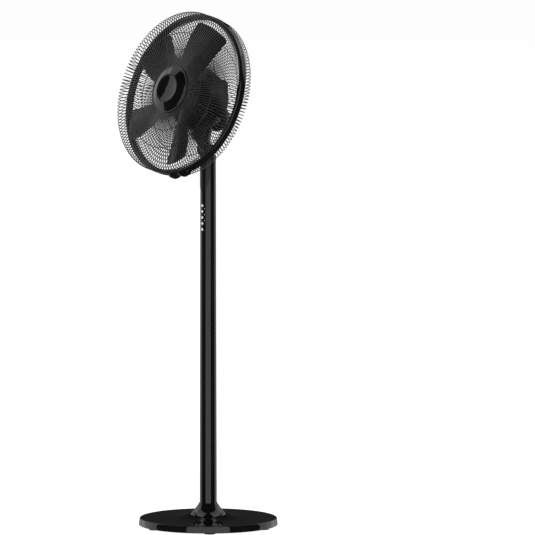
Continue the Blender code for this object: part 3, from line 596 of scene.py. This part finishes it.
def build_trim():
    """The thin cover on the front of the column's top, whose lower edge runs in an ellipse to a tip.
    Its width at each height is that of the ellipse, and straight above it."""
    low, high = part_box("column_front_trim")[0][2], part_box("column_front_trim")[1][2]
    straight_from = low + TRIM_NARROWING
    rows, columns = 70, 48
    share = np.linspace(0.0, 1.0, rows) ** 2
    heights = low + (high - low) * share
    rise = np.clip((heights - low) / (straight_from - low), 0.0, 1.0)
    reach = TRIM_HALF_TURN * np.maximum(0.03, np.sqrt(rise * (2.0 - rise)))
    across = np.linspace(-1.0, 1.0, columns)
    turn = reach[:, None] * across[None, :]
    height = np.broadcast_to(heights[:, None], turn.shape)
    radius = upper_radius(height)
    edge = np.minimum(1.0 - np.abs(across)[None, :], 0.06) / 0.06
    outer_radius = radius + 0.0003 + 0.0006 * np.sqrt(edge)
    outer = upright(outer_radius * np.sin(turn), -outer_radius * np.cos(turn), height)
    inner_radius = radius + 0.0002
    inner = upright(inner_radius * np.sin(turn), -inner_radius * np.cos(turn), height)
    loops = np.concatenate((outer, inner[:, ::-1]), axis=1)
    finished(
        "column_trim",
        loops,
        capped(rows, 2 * columns),
        MATERIALS["trim_shell"],
        "stand",
        ("column_front_trim",),
    )


def facing_front(centre):
    """A frame for small round parts whose axis points out of the column's front, at a centre."""

    def place(across, up, out):
        across, up, out = np.broadcast_arrays(across, up, out)
        return centre + np.stack((across, -out, up), axis=-1)

    return place


def facing_out(centre):
    """A frame whose axis points straight out of the column through a centre, with distances counted
    from the column's own axis."""
    outward = np.array([centre[0], centre[1], 0.0])
    outward /= np.linalg.norm(outward)
    sideways = np.cross(outward, (0.0, 0.0, 1.0))
    axis_point = np.array([0.0, 0.0, centre[2]])

    def place(across, up, out):
        across, up, out = np.broadcast_arrays(across, up, out)
        rise = up[..., None] * np.array([0.0, 0.0, 1.0])
        return axis_point + across[..., None] * sideways + rise + out[..., None] * outward

    return place


KEY_RADIUS = 0.0036
KEY_CUT_BACK = 0.0045


def build_keys():
    """Crowned push keys. Their backs are cut away so that a pressed key clears the floor of its well."""
    for name in KEYS:
        centre = key_centre(name)
        half = centre[1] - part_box(f"button_{name}")[0][1]
        back = KEY_CUT_BACK - half
        crown = [
            (0.0, half), (0.0018, half - 0.00005), (0.0030, half - 0.0003),
            (KEY_RADIUS, half - 0.0004 - 0.0006),
        ]
        line = np.vstack((smooth_line(crown, 12), [(KEY_RADIUS, back), (0.0, back)]))
        turned(
            f"key_{name}",
            line,
            MATERIALS["key_cap"],
            f"key_{name}",
            (f"button_{name}",),
            facing_front(centre),
            48,
        )


def build_lamps():
    """Small domed lamps beside the keys."""
    outline = [
        (0.0, 0.02135), (0.0007, 0.02130), (0.0011, 0.0212), (0.0012, 0.0209), (0.0012, 0.0200),
        (0.0, 0.0200),
    ]
    for number in (1, 2, 3):
        node = f"indicator_lens_{number}"
        turned(
            f"lamp_{number}",
            outline,
            MATERIALS["lamp_cap"],
            "stand",
            (node,),
            facing_out(box_centre(node)),
            24,
        )


# ------------------------------------------------------------------ neck and motor


def build_neck():
    """The tilt barrel, the stout arm and the cup."""
    build_barrel()
    build_arm()


def build_barrel():
    """A drum round the tilt bolt with a recess in each end. Where the ears come up into it, its
    radius drops to the core's over nearly the half turn below the bolt."""
    line = np.array([
        (-0.0166, 0.0), (-0.0166, 0.0060), (-0.0172, 0.0063), (-0.0186, 0.0063), (-0.0190, 0.0068),
        (-0.0190, 0.0144), (-0.0188, 0.0149), (-0.0182, 0.0150), (-0.0168, 0.0150), (-0.01641, 0.0150),
        (-0.0164, 0.0149), (-0.0125, 0.0149), (-0.0086, 0.0149), (-0.00859, 0.0150), (-0.0040, 0.0150),
    ])
    line = np.vstack((line, line[::-1] * np.array([-1.0, 1.0])))
    steps = 96
    turn = np.arange(steps) * TURN / steps
    across = line[:, 0][:, None] + 0.0 * turn
    off_centre = np.abs(line[:, 0])
    in_slot = (off_centre < 0.01645) & (off_centre > 0.00855) & (line[:, 1] < 0.01495)
    below = np.cos(turn) < -0.10
    reach = np.where(in_slot[:, None] & below[None, :], 0.0034, line[:, 1][:, None])
    points = in_neck(across, -reach * np.sin(turn), reach * np.cos(turn))
    faces = lattice(len(line), steps, False, True)
    finished("neck_barrel", points, faces, MATERIALS["gloss_shell"], "neck")


SWING_BACK = -float(np.dot(SWING_POINT - TILT_PIVOT, FORWARD))


def build_arm():
    """Ovals carried along a smooth line from the tilt pivot up and forwards, each leaning less than the
    one before, ending in the round cup that the head turns in."""
    ovals, steps = 40, 64
    middles = [(-0.001, 0.001), (-0.009, 0.011), (-0.019, 0.019), (SWING_BACK, 0.024), (SWING_BACK, 0.030)]
    spine = smooth_line(middles, ovals)
    halves = [(0.0186, 0.0142), (0.0192, 0.0165), (0.0228, 0.0215), (0.0258, 0.0258), (0.0260, 0.0260)]
    half_width, half_depth = smooth_line(halves, ovals).T
    leans = np.array([38.0, 32.0, 16.0, 0.0, 0.0])[:, None]
    lean = np.radians(smooth_line(leans, ovals)[:, 0])
    turn = np.arange(steps) * TURN / steps
    across = half_width[:, None] * np.cos(turn)
    along = half_depth[:, None] * np.sin(turn)
    back = spine[:, 0][:, None] + along * np.cos(lean)[:, None]
    up = spine[:, 1][:, None] + along * np.sin(lean)[:, None]
    arm = in_neck(across, back, up)
    rim = np.array([
        (0.0262, 0.0335), (0.0262, 0.0350), (0.0258, 0.0358), (0.0250, 0.0360), (0.0236, 0.0358),
        (0.0232, 0.0350), (0.0232, 0.0205), (0.0047, 0.0203),
    ])
    reach = rim[:, 0][:, None]
    cup = in_neck(reach * np.cos(turn), SWING_BACK + reach * np.sin(turn), rim[:, 1][:, None])
    points = np.concatenate((arm, cup))
    faces = capped(len(points), steps)
    finished("neck_arm", points, faces, MATERIALS["gloss_shell"], "neck", ("neck",))


def in_swing(across, back, up):
    """Points in the swing's upright frame, whose heights count from the tilt pivot."""
    return in_neck(across, np.asarray(back) + SWING_BACK, up)


def build_motor():
    """The motor's two covers."""
    build_motor_face()
    build_motor_shell()


def build_motor_face():
    """The front cover, a shallow round dish open at the back."""
    front = [
        (0.0120, -0.0220), (0.0660, -0.0220), (0.0760, -0.0232), (0.0805, -0.0262), (0.0820, -0.0310),
        (0.0820, -0.0350), (0.0808, -0.0412), (0.0782, -0.0412), (0.0792, -0.0345), (0.0785, -0.0290),
        (0.0740, -0.0258), (0.0120, -0.0246),
    ]
    turned(
        "motor_face",
        rounded(front, 0.0016),
        MATERIALS["gloss_shell"],
        "head",
        ("motor_front_cover",),
    )


def build_motor_shell():
    """The rear cover, a bowl turned round the fan's axis. Its outside is sunk by a clipped cosine of
    the angle in a band round its sides, which makes the cooling slots."""
    outer = smooth_line([
        (0.0800, -0.0446), (0.0795, -0.0580), (0.0757, -0.0740), (0.0680, -0.0910), (0.0560, -0.1040),
        (0.0400, -0.1110),
    ], 60)
    inner = smooth_line([
        (0.0385, -0.1085), (0.0545, -0.1017), (0.0660, -0.0893), (0.0730, -0.0730), (0.0765, -0.0580),
    ], 30)
    steps, slots, slot_depth = 240, 36, 0.0012
    middle = np.array([(0.0300, -0.1118), (0.0130, -0.1120), (0.0120, -0.1110), (0.0120, -0.1095)])
    outline = np.vstack((outer, middle, inner, [(0.0775, -0.0446)]))
    turn = np.arange(steps) * TURN / steps
    radius, forward = outline[:, 0][:, None], outline[:, 1][:, None]
    is_outer = np.arange(len(outline))[:, None] < len(outer)
    slot_wave = 0.5 + 0.5 * np.cos(slots * turn)[None, :]
    slot = np.clip((slot_wave - 0.55) / 0.15, 0.0, 1.0)
    band = np.clip((-forward - 0.066) / 0.002, 0, 1) * np.clip((0.098 + forward) / 0.002, 0, 1)
    side_only = np.clip((0.92 - np.abs(np.cos(turn)))[None, :] / 0.03, 0.0, 1.0)
    reach = radius - slot_depth * slot * band * side_only * is_outer
    finished(
        "motor_shell",
        in_head(reach * np.sin(turn), reach * np.cos(turn), forward),
        lattice(len(outline), steps, True, True),
        MATERIALS["gloss_shell"],
        "head",
        ("motor_rear_cover",),
    )


def build_motor_foot():
    """The boss under the motor: a round wall whose top edge follows the motor's round underside. The
    top's height at each point is that of a circle about the fan's axis, of the shell's radius there."""
    fan_height = float(np.dot(HOOP_CENTRE - TILT_PIVOT, UP))
    swing_behind = float(np.dot(HOOP_CENTRE - SWING_POINT, FORWARD))
    radius, bottom, highest = 0.0253, 0.0368, 0.0660
    steps = 96
    turn = np.arange(steps) * TURN / steps
    rings = np.array([
        (0.0244, 0.0), (0.0251, 0.01), (radius, 0.04), (radius, 0.98), (0.0250, 1.0), (0.0050, 1.0),
        (0.0050, 0.0),
    ])
    reach = rings[:, 0][:, None]
    across, back = reach * np.cos(turn), reach * np.sin(turn)
    behind = swing_behind + back
    shell_radius = np.interp(
        behind,
        [0.0446, 0.058, 0.074, 0.091, 0.104, 0.111],
        [0.0803, 0.0793, 0.0758, 0.0683, 0.0563, 0.0403],
    )
    saddle = fan_height - np.sqrt(shell_radius**2 - across**2)
    saddle = np.minimum(saddle, highest)
    height = bottom + (saddle - 0.0002 - bottom) * rings[:, 1][:, None]
    points = in_swing(across, back, height)
    finished(
        "motor_boss",
        points,
        lattice(len(rings), steps, True, True),
        MATERIALS["gloss_shell"],
        "head",
        ("motor_foot",),
    )


def build_gear_housing():
    """A ball stretched to three half sizes, with its front inside the motor's rear shell. Across and
    up follow the sine of the angle from the rear, and along follows its cosine."""
    behind, below = 0.122, 0.030
    half_across, half_up, half_along = 0.040, 0.036, 0.038
    rows, steps = 80, 120
    from_rear = np.linspace(0.0, np.pi, rows)[1:-1, None]
    turn = np.arange(steps) * TURN / steps
    across = half_across * np.sin(from_rear) * np.sin(turn)
    up = half_up * np.sin(from_rear) * np.cos(turn) - below
    forward = -half_along * np.cos(from_rear) - behind + 0.0 * turn
    points = in_head(across, up, forward)
    finished(
        "gear_shell",
        points,
        capped(rows - 2, steps),
        MATERIALS["gloss_shell"],
        "head",
        ("gear_housing",),
    )


# ------------------------------------------------------------------ guards, hoop and medallion


FRONT_LINE = (
    (0.2105, 0.0040), (0.2072, 0.0062), (0.2068, 0.0095), (0.2085, 0.0140), (0.2125, 0.0200),
    (0.2155, 0.0265), (0.2170, 0.0335), (0.2160, 0.0388), (0.2120, 0.0425), (0.2040, 0.0448),
    (0.1820, 0.0478), (0.1570, 0.0505), (0.1330, 0.0527), (0.1100, 0.0545), (0.0880, 0.0557),
    (0.0625, 0.0565),
)
REAR_LINE = (
    (0.2105, -0.0040), (0.2072, -0.0062), (0.2068, -0.0095), (0.2090, -0.0140), (0.2130, -0.0200),
    (0.2150, -0.0255), (0.2130, -0.0300), (0.2060, -0.0332), (0.1820, -0.0365), (0.1570, -0.0385),
    (0.1330, -0.0402), (0.1100, -0.0415), (0.0780, -0.0429),
)
RING_RADII = (0.1100, 0.1570, 0.2105)
POINTS_PER_WIRE = 46


def build_guard(name, line, node, rings_in_front):
    """Radial wires, each the guard's line turned to its own angle, and rings: one at the wires' outer
    ends, and two against them, in front where rings_in_front is 1 and behind where it is -1."""
    sizes = bpy.context.scene.fan_sizes
    profile = smooth_line(line, POINTS_PER_WIRE)
    turn = np.arange(sizes.wire_count) * TURN / sizes.wire_count
    radius, forward = profile[:, 0][None, :], profile[:, 1][None, :]
    paths = in_head(radius * np.sin(turn)[:, None], radius * np.cos(turn)[:, None], forward)
    side = np.cos(turn)[:, None, None] * SIDE - np.sin(turn)[:, None, None] * UP
    # Wires and rings take the coated-wire finish, whose lightened colour is painted sheen over a dark
    # coating.
    material = MATERIALS["wire_coat_and_painted_sheen"]
    wires(f"{name}_wires", paths, side, sizes.wire_radius, 6, material, "head", (node,))
    steps = 240
    around = np.arange(steps) * TURN / steps
    ring_radii = np.array(RING_RADII)
    inwards = np.argsort(-profile[:, 0])
    ring_forward = np.interp(-ring_radii, -profile[inwards, 0], profile[inwards, 1])
    ring_forward += (sizes.wire_radius + sizes.ring_radius * 0.7) * rings_in_front
    ring_forward[-1] = profile[0, 1]
    reach = ring_radii[:, None]
    rings = in_head(reach * np.sin(around), reach * np.cos(around), ring_forward[:, None] + 0 * around)
    wires(
        f"{name}_rings", rings, FORWARD, sizes.ring_radius, 10, material, "head", closed=True
    )


def build_guards():
    """Both guards, and the ring that the rear one's wires end on."""
    build_guard("front_guard", FRONT_LINE, "front_guard", -1.0)
    build_guard("rear_guard", REAR_LINE, "rear_guard", 1.0)
    plate = [(0.0795, -0.0420), (0.0795, -0.0438), (0.0650, -0.0438), (0.0650, -0.0420)]
    turned("rear_guard_plate", rounded(plate, 0.0006), MATERIALS["wire_coat_and_painted_sheen"], "head")


CLAMP_TURN = np.radians(14.7)
LUG_RISE = 0.0108


def build_hoop():
    """A channel bent round: its section's outer face swells at the clamp into two lugs, each the height
    of a flattened half circle, and the two ends stop short of each other by a slit."""
    radius = 0.2186
    half, depth, wall = 0.0100, 0.0100, 0.0018
    lip, bevel = radius - depth, 0.0022
    section = rounded([
        (lip, half - 0.0002), (lip + 0.0012, half), (radius - bevel, half), (radius, half - bevel),
        (radius, -half + bevel), (radius - bevel, -half), (lip + 0.0012, -half), (lip, -half + 0.0002),
        (lip, -half + wall), (radius - wall, -half + wall), (radius - wall, half - wall),
        (lip, half - wall),
    ], 0.0012, 4)
    slit = 0.0008 / radius
    steps = 720
    clamp = np.pi - CLAMP_TURN
    turn = clamp + slit + (TURN - 2 * slit) * np.linspace(0.0, 1.0, steps)
    from_clamp = (turn - clamp + np.pi) % TURN - np.pi
    away = np.abs(from_clamp) * radius
    lug_centre, lug_half = 0.0185, 0.0175
    rise = np.sqrt(np.clip(1.0 - ((away - lug_centre) / lug_half) ** 2, 0.0, 1.0)) * LUG_RISE
    taper = np.clip(1.0 - (np.abs(section[:, 1]) / half) ** 4 * 0.35, 0.0, 1.0)[:, None]
    outer_wall = (section[:, 0] > radius - wall + 0.0004)[:, None]
    reach = section[:, 0][:, None] + rise[None, :] * taper * outer_wall
    narrow = 1.0 - 0.15 * (rise[None, :] / LUG_RISE) * outer_wall
    points = in_head(reach * np.sin(turn), reach * np.cos(turn), section[:, 1][:, None] * narrow)
    faces = lattice(len(section), steps, True, False).tolist()
    around = np.arange(len(section)) * steps
    faces += [around.tolist(), (around[::-1] + steps - 1).tolist()]
    finished("hoop_band", points, faces, MATERIALS["gloss_shell"], "head", ("guard_hoop",))


def build_medallion():
    """The sloping ring and the dished disc in the middle of the front guard."""
    ring = [
        (0.0374, 0.0698), (0.0382, 0.0702), (0.0588, 0.0616), (0.0600, 0.0600), (0.0612, 0.0597),
        (0.0645, 0.0600), (0.0657, 0.0590), (0.0650, 0.0575), (0.0600, 0.0578), (0.0374, 0.0640),
    ]
    turned(
        "medallion_rim",
        rounded(ring, 0.0012),
        MATERIALS["gloss_shell"],
        "head",
        ("medallion_ring",),
    )
    dish = [
        (0.0, 0.0650), (0.0120, 0.0654), (0.0240, 0.0667), (0.0330, 0.0684), (0.0355, 0.0688),
        (0.0368, 0.0683),
    ]
    back = [(0.0369, 0.0642), (0.0, 0.0620)]
    outline = np.vstack((smooth_line(dish, 30), back))
    turned(
        "medallion_dish", outline, MATERIALS["gloss_shell"], "head", ("medallion_disc",)
    )


# ------------------------------------------------------------------ rotor


BLADE_COUNT = 5
BLADE_ROOT = 0.0435
BLADE_TIP = 0.1935
TIP_CORNER = 0.010
LEADING_TURN = np.radians(324.4)


def blade_points(number, thickness):
    """One blade as two skins on a grid of radius by chord. Each point turns back from the straight
    leading edge by its share of a spread that shrinks outwards, rises from rear to front with a slight
    camber, and both ends of the chord draw in at the tip to round the corners; the skins lie half a
    thickness either side, thinning to the edges."""
    rows, columns = 44, 36
    length = BLADE_TIP - BLADE_ROOT
    radial = BLADE_ROOT + length * (1.0 - (1.0 - np.linspace(0, 1, rows)) ** 1.6)
    chord = 0.5 - 0.5 * np.cos(np.linspace(0, np.pi, columns))
    radius, share = np.meshgrid(radial, chord, indexing="ij")
    into_corner = np.clip((radius - (BLADE_TIP - TIP_CORNER)) / TIP_CORNER, 0.0, 1.0)
    inset = TIP_CORNER * (1.0 - np.sqrt(np.clip(1.0 - into_corner**2, 0.0, 1.0)))
    spread = np.radians(43.5 + (0.100 - radius) * 129.0)
    inset_share = np.clip(inset / (radius * spread), 0.0, 0.49)
    share_in = inset_share + (1.0 - 2.0 * inset_share) * share
    turn = LEADING_TURN + number * TURN / BLADE_COUNT - spread * share_in
    camber = 0.0035 * np.sin(np.pi * share_in) * (0.5 + 0.5 * (radius - BLADE_ROOT) / length)
    forward = 0.0042 + 0.0288 * share_in + camber
    edges = np.sqrt(np.clip(1.0 - (2.0 * share - 1.0) ** 8, 0.02, 1.0))
    skin = 0.5 * thickness * edges * np.sqrt(1.0 - 0.9 * into_corner**4)
    front = in_head(radius * np.sin(turn), radius * np.cos(turn), forward + skin)
    rear = in_head(radius * np.sin(turn), radius * np.cos(turn), forward - skin)
    return np.concatenate((front, rear[:, ::-1]), axis=1)


def build_rotor():
    """The hub cup, five blades that start inside its wall, and the spinner nut."""
    sizes = bpy.context.scene.fan_sizes
    hub = [
        (0.0300, 0.0345), (0.0400, 0.0335), (0.0455, 0.0290), (0.0460, 0.0240), (0.0460, -0.0018),
        (0.0432, -0.0018), (0.0432, 0.0230), (0.0400, 0.0300), (0.0120, 0.0310), (0.0110, 0.0290),
        (0.0110, 0.0005), (0.0044, 0.0005), (0.0044, 0.0343),
    ]
    turned(
        "rotor_hub",
        rounded(hub, 0.0016),
        MATERIALS["blade_plastic"],
        "rotor",
        ("fan_blades",),
    )
    for number in range(BLADE_COUNT):
        points = blade_points(number, sizes.blade_thickness)
        faces = capped(*points.shape[:2])
        finished(
            f"blade_{number + 1}", points, faces, MATERIALS["blade_plastic"], "rotor"
        )
    dome = [(0.0, 0.0498), (0.0080, 0.0488), (0.0140, 0.0455), (0.0172, 0.0400), (0.0178, 0.0350)]
    bore = [(0.0044, 0.0350), (0.0044, 0.0412), (0.0, 0.0412)]
    line = np.vstack((smooth_line(dome, 26), bore))
    turned("rotor_nut", line, MATERIALS["satin_shell"], "rotor", ("spinner_nut",), steps=96)


# ------------------------------------------------------------------ stage


VIEW_TURN = np.radians(48.5)
VIEW_FALL = np.radians(6.8)
VIEW_WIDTH = 1.41775
VIEW_DISTANCE = 40.0
FLOOR_REACH = 40.0
FLOOR_GLOW = 0.93
PANEL_DISTANCE = 6.0
PANEL_HEIGHT = 9.0
# Each pair of side panels: degrees from the camera's side, half of the angle it fills, brightness.
SIDE_PANELS = ((110, 15, 0.9), (135, 9.5, 0.95), (153, 9, 0.5))


def studio_floor():
    """A flat pale floor that the shiny shells don't mirror."""
    low, high = -FLOOR_REACH, FLOOR_REACH
    mesh = bpy.data.meshes.new("studio_floor")
    corners = [(low, low, 0.0), (high, low, 0.0), (high, high, 0.0), (low, high, 0.0)]
    mesh.from_pydata(corners, [], [(0, 1, 2, 3)])
    material, nodes, _ = new_material("studio_floor")
    shader = nodes["Principled BSDF"]
    shader.inputs["Base Color"].default_value = (0.85, 0.85, 0.85, 1.0)
    shader.inputs["Roughness"].default_value = 0.7
    shader.inputs["Specular IOR Level"].default_value = 0.0
    shader.inputs["Emission Color"].default_value = (1.0, 1.0, 1.0, 1.0)
    shader.inputs["Emission Strength"].default_value = FLOOR_GLOW
    mesh.materials.append(material)
    floor = bpy.data.objects.new("studio_floor", mesh)
    bpy.context.scene.collection.objects.link(floor)
    floor.visible_glossy = False


def soft_panel(name, width, height, brightness):
    """A rectangular light that the camera doesn't see, of a brightness per unit of its area."""
    panel = bpy.data.lights.new(name, "AREA")
    panel.shape = "RECTANGLE"
    panel.size = width
    panel.size_y = height
    panel.energy = brightness * np.pi * width * height
    lamp = bpy.data.objects.new(name, panel)
    bpy.context.scene.collection.objects.link(lamp)
    lamp.visible_camera = False
    return lamp


def soft_box(name, turn, half_angle, low, brightness):
    """A tall soft panel at a turn from the camera's side, facing the fan, as wide as the angle it
    fills."""
    width = 2.0 * PANEL_DISTANCE * np.tan(half_angle)
    lamp = soft_panel(name, width, PANEL_HEIGHT, brightness)
    toward = VIEW_TURN + turn
    level = Vector((PANEL_DISTANCE * np.sin(toward), -PANEL_DISTANCE * np.cos(toward), 0.0))
    lamp.location = (level.x, level.y, low + PANEL_HEIGHT / 2)
    lamp.rotation_euler = level.to_track_quat("Z", "Y").to_euler()


def overhead():
    """A wide soft panel above and behind the fan, facing down."""
    lamp = soft_panel("overhead", 14.0, 4.4, 0.8)
    behind = 2.8
    lamp.location = (-behind * np.sin(VIEW_TURN), behind * np.cos(VIEW_TURN), 6.0)
    lamp.rotation_euler = (0.0, 0.0, VIEW_TURN)


def surround():
    """A pale surround to look at, which lights the fan only faintly."""
    world = bpy.data.worlds.new("studio")
    bpy.context.scene.world = world
    world.use_nodes = True
    nodes, links = world.node_tree.nodes, world.node_tree.links
    seen = nodes["Background"]
    seen.inputs["Color"].default_value = (1.0, 1.0, 1.0, 1.0)
    faint = nodes.new("ShaderNodeBackground")
    faint.inputs["Color"].default_value = (1.0, 1.0, 1.0, 1.0)
    faint.inputs["Strength"].default_value = 0.03
    path = nodes.new("ShaderNodeLightPath")
    either = nodes.new("ShaderNodeMixShader")
    links.new(path.outputs["Is Camera Ray"], either.inputs["Fac"])
    links.new(faint.outputs["Background"], either.inputs[1])
    links.new(seen.outputs["Background"], either.inputs[2])
    links.new(either.outputs["Shader"], nodes["World Output"].inputs["Surface"])


def distant_camera():
    """A camera so far away, behind so long a lens, that the view is almost parallel."""
    level = np.cos(VIEW_FALL)
    look = np.array([-np.sin(VIEW_TURN) * level, np.cos(VIEW_TURN) * level, -np.sin(VIEW_FALL)])
    right = np.array([np.cos(VIEW_TURN), np.sin(VIEW_TURN), 0.0])
    up = np.cross(right, look)
    target = right * 0.1569 + up * 0.6834
    data = bpy.data.cameras.new("camera")
    data.sensor_width = 36.0
    data.lens = data.sensor_width * VIEW_DISTANCE / VIEW_WIDTH
    data.clip_end = 3.0 * VIEW_DISTANCE
    camera = bpy.data.objects.new("camera", data)
    bpy.context.scene.collection.objects.link(camera)
    axes = Matrix((tuple(right), tuple(up), tuple(-look))).transposed()
    camera.matrix_world = Matrix.Translation(tuple(target - look * VIEW_DISTANCE)) @ axes.to_4x4()
    bpy.context.scene.camera = camera


def build_stage():
    """A pale floor and surround, soft panels before, above and either side behind, and the camera."""
    studio_floor()
    surround()
    soft_box("front_panel", 0.0, np.radians(36), -3.0, 1.25)
    for side_name, side in (("left", -1.0), ("right", 1.0)):
        for turn, half_angle, brightness in SIDE_PANELS:
            name = f"side_panel_{side_name}_{turn}"
            soft_box(name, side * np.radians(turn), np.radians(half_angle), -3.5, brightness)
    overhead()
    distant_camera()
    bpy.context.scene.view_settings.view_transform = "Standard"


# ------------------------------------------------------------------ operators


def prepare_finishes():
    """Makes every finish, and gives each working part that no new piece replaces its own."""
    make_materials(bpy.context.scene.fan_finishes)
    for finish, nodes in CARRIED_OVER.items():
        for node in nodes:
            slots = frame["nodes"][node].data.materials
            slots.clear()
            slots.append(MATERIALS[finish])


class FAN_OT_finishes(bpy.types.Operator):
    """Make the finishes and give them to the working parts"""

    bl_idname = "fan.finishes"
    bl_label = "Finishes"

    def execute(self, context):
        prepare_finishes()
        return {"FINISHED"}


class FAN_OT_base(bpy.types.Operator):
    """Build the base cover"""

    bl_idname = "fan.base"
    bl_label = "Base"

    def execute(self, context):
        build_base()
        return {"FINISHED"}


class FAN_OT_column(bpy.types.Operator):
    """Build both column tubes and the trim"""

    bl_idname = "fan.column"
    bl_label = "Column"

    def execute(self, context):
        build_column()
        build_trim()
        return {"FINISHED"}


class FAN_OT_keys(bpy.types.Operator):
    """Build the push keys and lamps"""

    bl_idname = "fan.keys"
    bl_label = "Keys"

    def execute(self, context):
        build_keys()
        build_lamps()
        return {"FINISHED"}


class FAN_OT_neck(bpy.types.Operator):
    """Build the tilt barrel, the arm and the cup"""

    bl_idname = "fan.neck"
    bl_label = "Neck"

    def execute(self, context):
        build_neck()
        return {"FINISHED"}


class FAN_OT_motor(bpy.types.Operator):
    """Build the motor's two covers, its foot and the gear housing"""

    bl_idname = "fan.motor"
    bl_label = "Motor"

    def execute(self, context):
        build_motor()
        build_motor_foot()
        build_gear_housing()
        return {"FINISHED"}


class FAN_OT_guards(bpy.types.Operator):
    """Build both wire guards"""

    bl_idname = "fan.guards"
    bl_label = "Guards"

    def execute(self, context):
        build_guards()
        return {"FINISHED"}


class FAN_OT_hoop(bpy.types.Operator):
    """Build the hoop that joins the guards"""

    bl_idname = "fan.hoop"
    bl_label = "Hoop"

    def execute(self, context):
        build_hoop()
        return {"FINISHED"}


class FAN_OT_medallion(bpy.types.Operator):
    """Build the front guard's centre"""

    bl_idname = "fan.medallion"
    bl_label = "Medallion"

    def execute(self, context):
        build_medallion()
        return {"FINISHED"}


class FAN_OT_rotor(bpy.types.Operator):
    """Build the hub, blades and nut"""

    bl_idname = "fan.rotor"
    bl_label = "Rotor"

    def execute(self, context):
        build_rotor()
        return {"FINISHED"}


class FAN_OT_stage(bpy.types.Operator):
    """Set the floor, light and camera"""

    bl_idname = "fan.stage"
    bl_label = "Stage"

    def execute(self, context):
        build_stage()
        return {"FINISHED"}


OPERATORS = (
    FAN_OT_finishes,
    FAN_OT_base,
    FAN_OT_column,
    FAN_OT_keys,
    FAN_OT_neck,
    FAN_OT_motor,
    FAN_OT_guards,
    FAN_OT_hoop,
    FAN_OT_medallion,
    FAN_OT_rotor,
    FAN_OT_stage,
)


class FAN_PT_pieces(bpy.types.Panel):
    """Lists the fan's sizes, finishes and pieces."""

    bl_idname = "FAN_PT_pieces"
    bl_label = "Pedestal Fan"
    bl_space_type = "VIEW_3D"
    bl_region_type = "UI"
    bl_category = "Fan"

    def draw(self, context):
        for group in (context.scene.fan_sizes, context.scene.fan_finishes):
            for name in group.bl_rna.properties.keys():
                if name not in ("rna_type", "name"):
                    self.layout.prop(group, name)
        for operator in OPERATORS:
            self.layout.operator(operator.bl_idname)


CLASSES = (FanSizes, FanFinishes, *OPERATORS, FAN_PT_pieces)


def register():
    """Adds the classes and the scene's settings."""
    for item in CLASSES:
        bpy.utils.register_class(item)
    bpy.types.Scene.fan_sizes = bpy.props.PointerProperty(type=FanSizes)
    bpy.types.Scene.fan_finishes = bpy.props.PointerProperty(type=FanFinishes)


def unregister():
    """Takes the settings and the classes away again."""
    del bpy.types.Scene.fan_finishes
    del bpy.types.Scene.fan_sizes
    for item in reversed(CLASSES):
        bpy.utils.unregister_class(item)


def main():
    """Runs every operator in order."""
    register()
    for operator in OPERATORS:
        group, name = operator.bl_idname.split(".")
        getattr(getattr(bpy.ops, group), name)()


if __name__ == "__main__":
    main()
